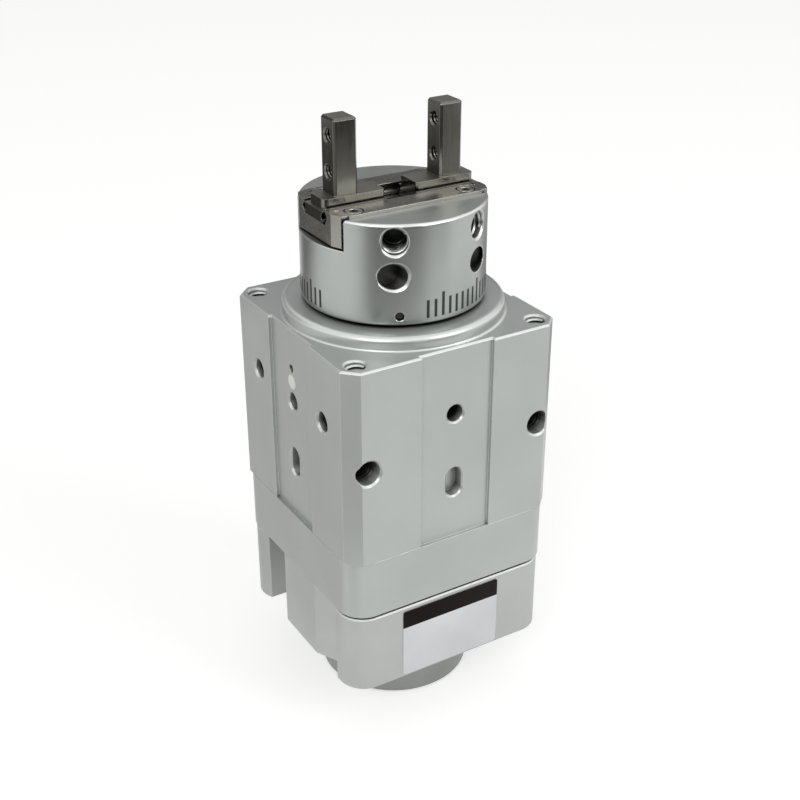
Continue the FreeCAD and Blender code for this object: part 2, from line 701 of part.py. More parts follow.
# Lower housing with the vane chamber
def make_vane_housing():
    """Square housing with chamber, bearing seat, sensor groove and screw holes."""
    body = new_body("vane_housing")
    half = "dims.housing_width / 2"
    block = sketch(body, "housing", "XY", HOUSING_BOTTOM)
    shoulder = f"({BODY_BOTTOM} - dims.seam_gap)"
    pad(body, rectangle(block, f"-{half}", half, f"-{half}", half), f"{shoulder} - {HOUSING_BOTTOM}")
    dress(body, "Fillet", "dims.skirt_corner", upright)
    rims = (value(HOUSING_BOTTOM), value(shoulder))
    dress(body, "Chamfer", "dims.seam_break", lambda edge: level(edge, rims[0]) or level(edge, rims[1]))
    inset = f"({half} - dims.seam_depth)"
    spigot = sketch(body, "spigot", "XY", shoulder)
    pad(body, polygon(spigot, cut_square(inset, "dims.corner_cut")), "dims.seam_gap")
    steps = [("0", HOUSING_BOTTOM), ("dims.lower_outer_radius", HOUSING_BOTTOM)]
    steps += [("dims.lower_outer_radius", LOWER_BEARING_TOP), (SHAFT_BORE, LOWER_BEARING_TOP)]
    steps += [(SHAFT_BORE, CHAMBER_FLOOR), ("dims.chamber_radius", CHAMBER_FLOOR)]
    steps += [("dims.chamber_radius", BODY_BOTTOM), ("0", BODY_BOTTOM)]
    spin(body, polygon(sketch(body, "chamber", "XZ"), steps), "Groove")
    inner = "(dims.gasket_radius - dims.gasket_groove_width / 2)"
    outer = "(dims.gasket_radius + dims.gasket_groove_width / 2)"
    gland = sketch(body, "gland", "XZ")
    rectangle(gland, inner, outer, f"{BODY_BOTTOM} - dims.gasket_groove_depth", BODY_BOTTOM)
    spin(body, gland, "Groove")
    sensor = sketch(body, "sensor", "XY", BODY_BOTTOM)
    outside = f"-{half} - dims.overcut"
    deep = f"dims.sensor_depth - {half}"
    way = [(outside, "dims.sensor_low"), (deep, "dims.sensor_low"), (deep, "dims.sensor_high")]
    way += [(f"dims.leg_slope_depth - {half}", "dims.sensor_high"), (f"-{half}", "dims.leg_slope_start")]
    way += [(outside, "dims.leg_slope_start")]
    pocket(body, polygon(sensor, way), "dims.housing_height")
    panel = sketch(body, "panel", "XY", BODY_BOTTOM)
    face = f"dims.panel_depth - {half}"
    rectangle(panel, outside, face, "dims.panel_low", "dims.sensor_low")
    pocket(body, panel, "dims.housing_height")
    recess = sketch(body, "recess", "XY", BODY_BOTTOM)
    deep = f"dims.recess_depth - {half}"
    way = [(outside, "dims.panel_low"), (face, "dims.panel_low"), (deep, "dims.recess_middle")]
    way += [(deep, "dims.recess_back"), (f"-{half}", "dims.recess_end"), (outside, "dims.recess_end")]
    pocket(body, polygon(recess, way), "dims.housing_height")
    holes = sketch(body, "housing_screws", "XY", HOUSING_BOTTOM)
    heads = sketch(body, "housing_heads", "XY", HOUSING_BOTTOM)
    for spot in corners_of("dims.screw_offset", "dims.screw_offset"):
        circle(holes, "dims.screw_hole_radius", *spot)
        circle(heads, "dims.screw_head_bore", *spot)
    pocket(body, holes, "dims.housing_height", backwards=True)
    pocket(body, heads, "dims.screw_bore_depth", backwards=True)
    dowels = sketch(body, "housing_dowel_holes", "XY", BODY_BOTTOM)
    for side in (LEFT, RIGHT):
        circle(dowels, "dims.dowel_radius", "0", f"({side}) * dims.dowel_offset")
    pocket(body, dowels, "dims.dowel_half")
    threads = sketch(body, "cap_threads", "XY", HOUSING_BOTTOM)
    for spot in corners_of("dims.cap_screw_offset / sqrt(2)", "dims.cap_screw_offset / sqrt(2)"):
        circle(threads, "dims.cap_screw_radius", *spot)
    reach = "dims.cap_screw_length - (dims.base_height - dims.cap_bore_depth)"
    pocket(body, threads, reach, backwards=True)
    node("vane_housing", body)


# Round cap under the housing
def make_base_cap():
    """Turned cap that closes the lower bearing, with counterbored screw holes."""
    body = new_body("base_cap")
    rim = "(dims.base_radius - dims.base_break)"
    steps = [("0", "0"), (rim, "0"), ("dims.base_radius", "dims.base_break")]
    steps += [("dims.base_radius", HOUSING_BOTTOM), ("dims.cap_pocket_radius", HOUSING_BOTTOM)]
    steps += [("dims.cap_pocket_radius", "dims.cap_floor"), ("0", "dims.cap_floor")]
    spin(body, polygon(sketch(body, "cap_section", "XZ"), steps), "Revolution")
    holes = sketch(body, "cap_holes", "XY")
    heads = sketch(body, "cap_heads", "XY")
    for spot in corners_of("dims.cap_screw_offset / sqrt(2)", "dims.cap_screw_offset / sqrt(2)"):
        circle(holes, "dims.cap_screw_radius", *spot)
        circle(heads, "dims.cap_head_bore", *spot)
    pocket(body, holes, "dims.base_height", backwards=True)
    pocket(body, heads, "dims.cap_bore_depth", backwards=True)
    node("base_cap", body)


# Fasteners, seals and small fixed pieces
def make_fixed_pieces():
    """Screws, dowels, gasket, stopper, plug and label of the fixed housing."""
    seat = f"{HOUSING_BOTTOM} + dims.screw_bore_depth"
    sizes = ("dims.screw_radius", "dims.screw_length", "dims.screw_head_radius")
    sizes += ("dims.screw_head_height", "dims.screw_socket")
    spots = corners_of("dims.screw_offset", "dims.screw_offset")
    screws = [socket_screw(f"body_screw_{i}", sizes, x, y, seat, -1) for i, (x, y) in enumerate(spots)]
    node("body_screws", group("body_screws", screws))

    sizes = ("dims.cap_screw_radius", "dims.cap_screw_length", "dims.cap_head_radius")
    sizes += ("dims.cap_head_height", "dims.cap_screw_socket")
    spots = corners_of("dims.cap_screw_offset / sqrt(2)", "dims.cap_screw_offset / sqrt(2)")
    seat = "dims.cap_bore_depth"
    screws = [socket_screw(f"cap_screw_{i}", sizes, x, y, seat, -1) for i, (x, y) in enumerate(spots)]
    node("cap_screws", group("cap_screws", screws))

    low = f"{BODY_BOTTOM} - dims.dowel_half"
    dowels = []
    for side in (LEFT, RIGHT):
        y = f"({side}) * dims.dowel_offset"
        name = f"dowel_{len(dowels)}"
        dowels.append(cylinder(name, "dims.dowel_radius", "2 * dims.dowel_half", "0", y, low))
    node("housing_dowels", group("housing_dowels", dowels))

    gasket_level = f"{BODY_BOTTOM} - dims.gasket_groove_depth / 2"
    node("housing_gasket", torus("housing_gasket", "dims.gasket_radius", "dims.ring_section", gasket_level))

    depth = "dims.chamber_depth"
    disc = cylinder("stopper_disc", "dims.chamber_radius", depth, z=CHAMBER_FLOOR)
    wide = "2 * dims.chamber_radius"
    away = "-(dims.stopper_gap + dims.chamber_radius)"
    front_half = box("stopper_half", wide, wide, depth, "0", away, CHAMBER_FLOOR)
    segment = common("stopper_segment", disc, front_half)
    relief = cylinder("stopper_relief", f"{SHAFT_BORE} + dims.running_gap", depth, z=CHAMBER_FLOOR)
    middle = f"-({SHAFT_BORE} + dims.strip_depth / 2)"
    strip = box("stopper_seal", "dims.strip_width", "dims.strip_depth", depth, "0", middle, CHAMBER_FLOOR)
    node("stopper", cut("stopper", segment, relief, strip))
    node("stopper_seal", strip)

    face = "(dims.band_depth - dims.body_width / 2)"
    level_up = f"{BODY_TOP} - dims.plug_drop"
    sizes = ("dims.plug_radius", "dims.plug_length")
    node("side_plug", cylinder("side_plug", *sizes, face, "0", level_up, ALONG_X))

    width = "dims.label_right - dims.label_left"
    middle = "(dims.label_right + dims.label_left) / 2"
    depth = "dims.label_thickness"
    front = "-(dims.housing_width + dims.label_thickness) / 2"
    low = f"{HOUSING_BOTTOM} + dims.label_low"
    node("label", box("label", width, depth, "dims.label_high - dims.label_low", middle, front, low))


# Ball bearings
def make_bearing(name, inner, outer, low, ball, count):
    """Deep-groove bearing as outer ring, inner ring, balls and cage."""
    pitch = f"(({inner} + {outer}) / 2)"
    middle = f"({low} + dims.bearing_width / 2)"
    track = f"{ball} + dims.ball_play"
    outer_ring = tube(f"{name}_outer_blank", outer, f"{outer} - dims.ring_wall", "dims.bearing_width", low)
    outer_track = torus(f"{name}_outer_track", pitch, track, middle)
    node(f"{name}_outer", cut(f"{name}_outer", outer_ring, outer_track))
    inner_ring = tube(f"{name}_inner_blank", f"{inner} + dims.ring_wall", inner, "dims.bearing_width", low)
    inner_track = torus(f"{name}_inner_track", pitch, track, middle)
    node(f"{name}_inner", cut(f"{name}_inner", inner_ring, inner_track))
    balls = []
    for index in range(int(value(count))):
        angle = f"{index} * 360 / {count}"
        spot = (f"{pitch} * sin({angle})", f"-{pitch} * cos({angle})")
        balls.append(sphere(f"{name}_ball_{index}", ball, *spot, middle))
    node(f"{name}_balls", group(f"{name}_balls", balls))
    body = new_body(f"{name}_cage")
    section = sketch(body, f"{name}_cage_section", "XZ")
    reach = f"({ball} + dims.cage_margin)"
    half_wall = "dims.cage_wall / 2"
    sides = (f"{pitch} - {half_wall}", f"{pitch} + {half_wall}")
    spin(body, rectangle(section, *sides, f"{middle} - {reach}", f"{middle} + {reach}"), "Revolution")
    window = circle(sketch(body, f"{name}_window", "XZ", outer), f"{ball} + dims.ball_play", "0", middle)
    hole = pocket(body, window, outer)
    repeat(body, [hole], int(value(count)))
    node(f"{name}_cage", body)


def make_clip(name, outer, inner, low, gap_side):
    """Open retaining ring with its gap on one side of the middle plane."""
    ring = tube(f"{name}_blank", outer, inner, "dims.clip_thickness", low)
    middle = f"({gap_side}) * ({outer} + {inner}) / 2"
    gap = box(f"{name}_gap", "dims.clip_opening", outer, "dims.clip_thickness", "0", middle, low)
    node(name, cut(name, ring, gap))


# Turning head with sleeve
def make_gripper_head():
    """Turned head and sleeve with the cylinder, lever pocket, finger channel and side holes."""
    body = new_body("gripper_head")
    steps = [("dims.cylinder_radius", SLEEVE_BOTTOM), ("dims.sleeve_radius", SLEEVE_BOTTOM)]
    steps += [("dims.sleeve_radius", UPPER_BEARING_TOP), ("dims.shoulder_radius", UPPER_BEARING_TOP)]
    steps += [("dims.shoulder_radius", HEAD_BOTTOM), ("dims.head_radius", HEAD_BOTTOM)]
    steps += [("dims.head_radius", HEAD_TOP), ("0", HEAD_TOP), ("0", CYLINDER_TOP)]
    steps += [("dims.cylinder_radius", CYLINDER_TOP)]
    spin(body, polygon(sketch(body, "head_section", "XZ"), steps), "Revolution")
    head = value("dims.head_radius")
    dress(body, "Fillet", "dims.head_round", lambda edge: abs(arc_radius(edge) - head) < CLOSE)

    glands = sketch(body, "glands", "XZ")
    half = "dims.ring_groove_width / 2"
    for index in range(SLEEVE_RINGS):
        middle = f"({BODY_TOP} - dims.ring_first_drop - {index} * dims.ring_pitch)"
        floor = "dims.sleeve_radius - dims.ring_groove_depth"
        rectangle(glands, floor, "dims.sleeve_radius", f"{middle} - {half}", f"{middle} + {half}")
    half = "dims.air_groove_width / 2"
    for index in range(AIR_GROOVES):
        middle = f"({BODY_TOP} - dims.ring_first_drop - ({index} + 0.5) * dims.ring_pitch)"
        floor = "dims.sleeve_radius - dims.air_groove_depth"
        rectangle(glands, floor, "dims.sleeve_radius", f"{middle} - {half}", f"{middle} + {half}")
    clip_low = f"{END_CAP_BOTTOM} - dims.clip_thickness"
    clip_outer = "dims.cylinder_radius + dims.clip_bite"
    rectangle(glands, "dims.cylinder_radius", clip_outer, clip_low, END_CAP_BOTTOM)
    spin(body, glands, "Groove")

    reach = "dims.head_radius + dims.overcut"
    half_guide = "dims.guide_width / 2"
    channel = sketch(body, "channel", "XY", HEAD_TOP)
    rectangle(channel, f"-({reach})", reach, f"-{half_guide}", half_guide)
    pocket(body, channel, "dims.channel_depth")
    long = "dims.pocket_length / 2"
    wide = "dims.pocket_width / 2"
    cavity = sketch(body, "lever_pocket", "XY", CHANNEL_FLOOR)
    pocket(body, rectangle(cavity, f"-{long}", long, f"-{wide}", wide), "dims.pocket_depth")
    rod = circle(sketch(body, "rod_hole", "XY", POCKET_FLOOR), "dims.rod_radius + dims.rod_gap")
    pocket(body, rod, f"{POCKET_FLOOR} - {CYLINDER_TOP}")
    seal_low = f"({CYLINDER_TOP} + dims.rod_seal_rise)"
    gland = sketch(body, "rod_gland", "XZ")
    seal_high = f"{seal_low} + dims.rod_seal_height"
    rectangle(gland, "dims.rod_radius", "dims.rod_seal_radius", seal_low, seal_high)
    spin(body, gland, "Groove")
    threads = sketch(body, "guide_threads", "XY", CHANNEL_FLOOR)
    for spot in corners_of("dims.guide_screw_x", "dims.guide_screw_y"):
        circle(threads, "dims.guide_screw_radius", *spot)
    seat = "dims.channel_depth + dims.guide_rise - dims.guide_head_height"
    pocket(body, threads, f"dims.guide_screw_length - ({seat})")
    bores = sketch(body, "lower_bores", "XZ", "dims.head_radius")
    bore_level = f"({HEAD_TOP} - dims.lower_hole_drop)"
    for side in (LEFT, RIGHT):
        circle(bores, "dims.lower_hole_radius", f"({side}) * dims.lower_hole_offset", bore_level)
    repeat(body, [pocket(body, bores, "dims.head_radius - dims.lower_hole_floor")], 2)
    dress(body, "Chamfer", "dims.hole_break", lambda edge: bore_mouth(edge, value(bore_level)))

    drills = [pin_across("drive_hole", "dims.drive_pin_radius", "dims.drive_pin_half", "0", DRIVE_LEVEL)]
    height = f"{HEAD_TOP} - dims.upper_hole_drop"
    start = "(dims.head_radius - 2 * dims.hole_break)"
    wide = "dims.upper_hole_radius"
    for index, angle in enumerate(SIDE_ANGLES):
        drills.append(radial(f"thread_{index}", wide, "dims.upper_hole_depth", height, angle))
        spot = (f"{start} * cos({angle})", f"{start} * sin({angle})", height, along_radius(angle))
        drills.append(countersink(f"thread_break_{index}", wide, *spot))
    plugs = []
    sizes = ("dims.lower_hole_radius", "dims.head_plug_length")
    for x, y in corners_of("dims.lower_hole_offset", "dims.lower_hole_floor"):
        out = Vector(0, math.copysign(1, value(y)), 0)
        plugs.append(cylinder(f"head_plug_{len(plugs)}", *sizes, x, y, bore_level, out))
    index_spot = (f"{HEAD_BOTTOM} + dims.index_rise", "-90 - dims.index_angle")
    drills.append(radial("index_dimple", "dims.index_radius", "dims.index_depth", *index_spot))
    node("gripper_head", cut("gripper_head", body, *drills))
    node("head_plugs", group("head_plugs", plugs))


DRIVE_LEVEL = f"({BODY_TOP} - dims.drive_pin_drop)"
SIDE_ANGLES = ["-90 - dims.side_hole_angle", "-90 + dims.side_hole_angle"]
SIDE_ANGLES += ["90 - dims.side_hole_angle", "90 + dims.side_hole_angle"]


def along_radius(angle):
    """Level direction outwards at an angle."""
    return Rotation(UP, value(angle)).multVec(ALONG_X)


def radial(name, radius, depth, z, angle):
    """Cylinder that starts inside the head at a depth and runs outwards along a radius."""
    start = f"(dims.head_radius - {depth})"
    spot = (f"{start} * cos({angle})", f"{start} * sin({angle})", z)
    return cylinder(name, radius, f"{depth} + dims.overcut", *spot, along_radius(angle))


def bore_mouth(edge, height):
    """True for the curved rim of a level bore in the head's round side."""
    span = edge.BoundBox
    return span.YLength > CLOSE and span.XLength > CLOSE and abs(span.Center.z - height) < CLOSE


# Pieces that turn with the head
def make_head_pieces():
    """Seals, vane shaft, cylinder cap and lever holder of the turning head."""
    rings = []
    for index in range(SLEEVE_RINGS):
        height = f"{BODY_TOP} - dims.ring_first_drop - {index} * dims.ring_pitch"
        middle = "dims.sleeve_radius - dims.ring_groove_depth / 2"
        rings.append(torus(f"sleeve_ring_{index}", middle, "dims.ring_section", height))
    node("sleeve_rings", group("sleeve_rings", rings))

    body = new_body("vane_shaft")
    top = "(dims.shaft_end + dims.shaft_length)"
    clip = "(dims.shaft_radius - dims.clip_bite)"
    clip_low = f"({HOUSING_BOTTOM} - dims.clip_thickness)"
    bevel = "dims.clip_bite"
    steps = [("0", "dims.shaft_end"), (f"dims.shaft_radius - {bevel}", "dims.shaft_end")]
    steps += [("dims.shaft_radius", f"dims.shaft_end + {bevel}"), ("dims.shaft_radius", clip_low)]
    steps += [(clip, clip_low), (clip, HOUSING_BOTTOM), ("dims.shaft_radius", HOUSING_BOTTOM)]
    steps += [("dims.shaft_radius", f"{top} - {bevel}"), (f"dims.shaft_radius - {bevel}", top), ("0", top)]
    spin(body, polygon(sketch(body, "shaft_section", "XZ"), steps), "Revolution")
    half = "dims.vane_core_width / 2"
    core = sketch(body, "vane_core", "XY", CHAMBER_MIDDLE)
    rectangle(core, "0", "dims.vane_core_reach", f"-{half}", half)
    pad(body, core, "dims.vane_core_height", middle=True)
    pin_hole = circle(sketch(body, "shaft_pin_hole", "XZ"), "dims.drive_pin_radius", "0", DRIVE_LEVEL)
    pocket(body, pin_hole, "2 * dims.shaft_radius + dims.overcut", middle=True)
    node("vane_shaft", body)

    tall = "dims.chamber_depth - 2 * dims.running_gap"
    low = f"{CHAMBER_FLOOR} + dims.running_gap"
    reach = "dims.chamber_radius"
    paddle = box("vane_paddle", reach, "dims.vane_width", tall, f"{reach} / 2", "0", low)
    sweep = cylinder("vane_sweep", "dims.chamber_radius - dims.running_gap", tall, z=low)
    hub = cylinder("vane_hub", "dims.shaft_radius", tall, z=low)
    core_low = f"{CHAMBER_MIDDLE} - dims.vane_core_height / 2"
    core_middle = "dims.vane_core_reach / 2"
    core = box("vane_core_space", "dims.vane_core_reach", "dims.vane_core_width", "dims.vane_core_height",
               core_middle, "0", core_low)
    node("vane_seal", cut("vane_seal", common("vane_blank", paddle, sweep), hub, core))
    pin = pin_across("drive_pin", "dims.drive_pin_radius", "dims.drive_pin_half", "0", DRIVE_LEVEL)
    node("drive_pin", pin)

    groove = "(dims.cylinder_radius - 2 * dims.end_cap_ring_section)"
    body = new_body("cylinder_cap")
    middle = f"({END_CAP_BOTTOM} + dims.end_cap_height / 2)"
    steps = [("0", END_CAP_BOTTOM), ("dims.cylinder_radius", END_CAP_BOTTOM)]
    low = f"{middle} - dims.ring_section"
    high = f"{middle} + dims.ring_section"
    steps += [("dims.cylinder_radius", low), (groove, low), (groove, high), ("dims.cylinder_radius", high)]
    cap_top = f"({END_CAP_BOTTOM} + dims.end_cap_height)"
    steps += [("dims.cylinder_radius", cap_top), ("0", cap_top)]
    spin(body, polygon(sketch(body, "cylinder_cap_section", "XZ"), steps), "Revolution")
    node("cylinder_cap", body)
    ring_middle = "dims.cylinder_radius - dims.end_cap_ring_section"
    node("cap_ring", torus("cap_ring", ring_middle, "dims.end_cap_ring_section", middle))

    seal_low = f"({CYLINDER_TOP} + dims.rod_seal_rise)"
    bore = "dims.rod_radius + dims.rod_gap"
    node("rod_seal", tube("rod_seal", "dims.rod_seal_radius", bore, "dims.rod_seal_height", seal_low))

    long = "dims.pocket_length - 2 * dims.holder_gap"
    wide = "dims.pocket_width - 2 * dims.holder_gap"
    frame = box("holder_frame", long, wide, "dims.pocket_depth", z=POCKET_FLOOR)
    room = box("holder_room", f"{long} - 2 * dims.holder_wall", f"{wide} - 2 * dims.holder_wall",
               "dims.pocket_depth", z=POCKET_FLOOR)
    holes = []
    pins = []
    for side in (LEFT, RIGHT):
        x = f"({side}) * dims.pivot_offset"
        half = "(dims.pocket_width / 2 - dims.holder_gap)"
        holes.append(pin_across(f"holder_hole_{side + 1}", "dims.pivot_radius", half, x, PIVOT_LEVEL))
        pins.append(pin_across(f"lever_pin_{side + 1}", "dims.pivot_radius", half, x, PIVOT_LEVEL))
    node("lever_holder", cut("lever_holder", frame, room, *holes))
    node("lever_pins", group("lever_pins", pins))


# Finger guide with its screws and ball stops
def make_finger_guide():
    """Hard rail across the head with ball tracks, lever window and rounded ends."""
    body = new_body("finger_guide")
    reach = "dims.guide_end"
    half = "dims.guide_width / 2"
    tall = "dims.channel_depth + dims.guide_rise"
    block = rectangle(sketch(body, "rail", "XY", CHANNEL_FLOOR), f"-{reach}", reach, f"-{half}", half)
    pad(body, block, tall)
    low = value(CHANNEL_FLOOR)
    foot = "dims.guide_foot_break"
    dress(body, "Chamfer", foot, lambda edge: level(edge, low) and edge.BoundBox.XLength < CLOSE)
    slide = "dims.guide_channel / 2"
    way = rectangle(sketch(body, "way", "XY", GUIDE_TOP), f"-{reach}", reach, f"-{slide}", slide)
    pocket(body, way, f"{tall} - dims.guide_floor")
    long = "dims.window_length / 2"
    wide = "dims.window_width / 2"
    window = rectangle(sketch(body, "window", "XY", CHANNEL_FLOOR), f"-{long}", long, f"-{wide}", wide)
    pocket(body, window, "dims.guide_floor", backwards=True)
    tracks = sketch(body, "rail_tracks", "YZ")
    for side in (LEFT, RIGHT):
        circle(tracks, "dims.ball_radius + dims.ball_play", f"({side}) * dims.ball_row_offset", BALL_ROW)
    pocket(body, tracks, "2 * dims.head_radius", middle=True)
    holes = sketch(body, "rail_holes", "XY", GUIDE_TOP)
    heads = sketch(body, "rail_heads", "XY", GUIDE_TOP)
    for spot in corners_of("dims.guide_screw_x", "dims.guide_screw_y"):
        circle(holes, "dims.guide_screw_radius", *spot)
        circle(heads, "dims.guide_head_radius + dims.guide_head_gap", *spot)
    pocket(body, holes, tall)
    pocket(body, heads, "dims.guide_head_height")
    stops = sketch(body, "rail_stops", "XY", GUIDE_TOP)
    for spot in corners_of("dims.stop_x", "dims.stop_y"):
        circle(stops, "dims.stop_radius", *spot)
    pocket(body, stops, tall)
    sides = sketch(body, "rail_sides", "XY", GUIDE_TOP)
    inside = f"{half} - dims.guide_relief"
    begin = "dims.guide_relief_start"
    for way in (LEFT, RIGHT):
        for side in (LEFT, RIGHT):
            near, far = (f"({side}) * ({inside})", f"({side}) * ({half} + dims.overcut)")
            rectangle(sides, f"({way}) * {begin}", f"({way}) * ({reach} + dims.overcut)", near, far)
    pocket(body, sides, tall)
    turning = "(dims.head_radius - dims.guide_setback)"
    skirt = doc.addObject("Part::Cone", "rail_foot")
    bind(skirt, Radius1=f"{turning} - {foot}", Radius2=turning, Height=foot)
    place(skirt, z=CHANNEL_FLOOR)
    barrel = cylinder("rail_barrel", turning, f"{tall} - {foot}", z=f"{CHANNEL_FLOOR} + {foot}")
    node("finger_guide", common("finger_guide", body, fuse("rail_turning", skirt, barrel)))

    seat = f"({GUIDE_TOP} - dims.guide_head_height)"
    sizes = ("dims.guide_screw_radius", "dims.guide_screw_length", "dims.guide_head_radius")
    sizes += ("dims.guide_head_height", "dims.guide_socket")
    spots = corners_of("dims.guide_screw_x", "dims.guide_screw_y")
    screws = [socket_screw(f"guide_screw_{i}", sizes, x, y, seat) for i, (x, y) in enumerate(spots)]
    node("guide_screws", group("guide_screws", screws))
    pins = []
    for x, y in corners_of("dims.stop_x", "dims.stop_y"):
        pins.append(cylinder(f"ball_stop_{len(pins)}", "dims.stop_radius", tall, x, y, CHANNEL_FLOOR))
    node("ball_stops", group("ball_stops", pins))


# Fingers, their balls and their levers
def make_finger(name, side):
    """Slider and post in one piece, drawn at the open end of the travel."""
    body = new_body(name)
    start = "dims.slider_start"
    foot = "dims.slider_width / 2"
    neck = "dims.neck_width / 2"
    step = f"({GUIDE_TOP} - dims.slider_step)"
    section = sketch(body, f"{name}_foot", "YZ", f"({side}) * {start}")
    rectangle(section, f"-{foot}", foot, SLIDER_BOTTOM, step)
    pad(body, section, "dims.slider_length", backwards=side == LEFT)
    end = f"({side}) * ({start} + dims.slider_length - dims.neck_setback)"
    ridge = sketch(body, f"{name}_neck", "XY", step)
    rectangle(ridge, f"({side}) * {start}", end, f"-{neck}", neck)
    pad(body, ridge, f"{SLIDER_TOP} - {step}")
    far = value(end)

    def at_end(edge):
        """True for the neck's two outer upright edges."""
        return upright(edge) and abs(edge.BoundBox.XMin - far) < CLOSE

    dress(body, "Fillet", "dims.slider_round", at_end)
    near_end = value(f"({side}) * {start}")
    crest = value(SLIDER_TOP)

    def at_start(edge):
        """True for the neck's two inner upright edges."""
        span = edge.BoundBox
        return upright(edge) and abs(span.XMin - near_end) < CLOSE and span.ZMax > crest - CLOSE

    dress(body, "Chamfer", "dims.finger_break", at_start)
    tracks = sketch(body, f"{name}_tracks", "YZ")
    for edge_side in (LEFT, RIGHT):
        row = f"({edge_side}) * dims.ball_row_offset"
        circle(tracks, "dims.ball_radius + dims.ball_play", row, BALL_ROW)
    pocket(body, tracks, "2 * dims.head_radius", middle=True)
    near = f"({side}) * dims.finger_gap / 2"
    back = f"({side}) * (dims.finger_gap / 2 + dims.finger_thickness)"
    wide = "dims.finger_width / 2"
    post = rectangle(sketch(body, f"{name}_post", "XY", SLIDER_TOP), near, back, f"-{wide}", wide)
    pad(body, post, "dims.finger_reach")
    top = value(FINGER_TOP)
    base = value(SLIDER_TOP)

    def post_edge(edge):
        """True for the post's upright edges and those round its top."""
        span = edge.BoundBox
        on_post = span.ZMax > top - CLOSE and span.ZMin > base - CLOSE
        return level(edge, top) or (upright(edge) and on_post)

    dress(body, "Chamfer", "dims.finger_break", post_edge)
    holes = sketch(body, f"{name}_holes", "YZ")
    for index in range(FINGER_HOLES):
        height = f"{FINGER_TOP} - dims.finger_hole_drop - {index} * dims.finger_hole_pitch"
        circle(holes, "dims.finger_hole_radius", "0", height)
    pocket(body, holes, "2 * dims.head_radius", middle=True)
    hole = value("dims.finger_hole_radius")
    dress(body, "Chamfer", "dims.finger_hole_break", lambda edge: abs(arc_radius(edge) - hole) < CLOSE)
    tip_x = f"(({side}) * (dims.pivot_offset + dims.finger_travel / 2))"
    room = "(dims.tip_radius + dims.tip_play)"
    deep = "(dims.arm_depth / 2 + dims.tip_play)"
    socket = sketch(body, f"{name}_socket", "XY", SLIDER_BOTTOM)
    rectangle(socket, f"{tip_x} - {room}", f"{tip_x} + {room}", f"-{deep}", deep)
    pocket(body, socket, "dims.tip_pocket_height", backwards=True)
    node(name, body)


def make_guide_balls(name, side):
    """Two rows of balls between one finger and the guide."""
    balls = []
    for row_side in (LEFT, RIGHT):
        for index in range(BALLS_IN_ROW):
            x = f"({side}) * (dims.slider_start + dims.ball_first + {index} * dims.ball_pitch)"
            y = f"({row_side}) * dims.ball_row_offset"
            balls.append(sphere(f"{name}_{len(balls)}", "dims.ball_radius", x, y, BALL_ROW))
    node(name, group(name, balls))


def make_lever(name, side):
    """Bell crank on its pivot, with a round tip for the slider and a slotted arm for the centre pin."""
    body = new_body(name)
    pad(body, circle(sketch(body, f"{name}_hub", "XZ"), "dims.hub_radius"), "dims.hub_width", middle=True)
    half = "dims.arm_width / 2"
    arm = rectangle(sketch(body, f"{name}_arm", "XZ"), f"-{half}", half, "0", "dims.lever_arm")
    pad(body, arm, "dims.arm_depth", middle=True)
    tip = circle(sketch(body, f"{name}_tip", "XZ"), "dims.tip_radius", "0", "dims.lever_arm")
    pad(body, tip, "dims.arm_depth", middle=True)
    pin_x = f"(({-side}) * dims.pivot_offset / cos({LEVER_ANGLE}))"
    tall = "dims.inner_arm_half"
    low_side = f"({side}) * dims.inner_arm_low"
    inner = sketch(body, f"{name}_inner", "XZ", low_side)
    rectangle(inner, "0", pin_x, f"-{tall}", tall)
    thick = "dims.inner_arm_high - dims.inner_arm_low"
    pad(body, inner, thick, backwards=side == LEFT)
    end = circle(sketch(body, f"{name}_end", "XZ", low_side), tall, pin_x, "0")
    pad(body, end, thick, backwards=side == LEFT)
    pivot = circle(sketch(body, f"{name}_pivot", "XZ"), "dims.pivot_radius + dims.pivot_gap")
    pocket(body, pivot, "dims.hub_width", middle=True)
    slot_half = "(dims.centre_pin_radius + dims.pin_slot_gap)"
    play = "(dims.centre_pin_radius + dims.pin_slot_play)"
    way = sketch(body, f"{name}_slot", "XZ", low_side)
    rectangle(way, f"{pin_x} - {play}", f"{pin_x} + {play}", f"-{slot_half}", slot_half)
    pocket(body, way, thick, backwards=side == RIGHT)
    body.Placement = Placement(Vector(), Rotation(ALONG_Y, side * value(LEVER_ANGLE)))
    bind(body, Placement__Base__x=f"({side}) * dims.pivot_offset", Placement__Base__z=PIVOT_LEVEL)
    node(name, body)


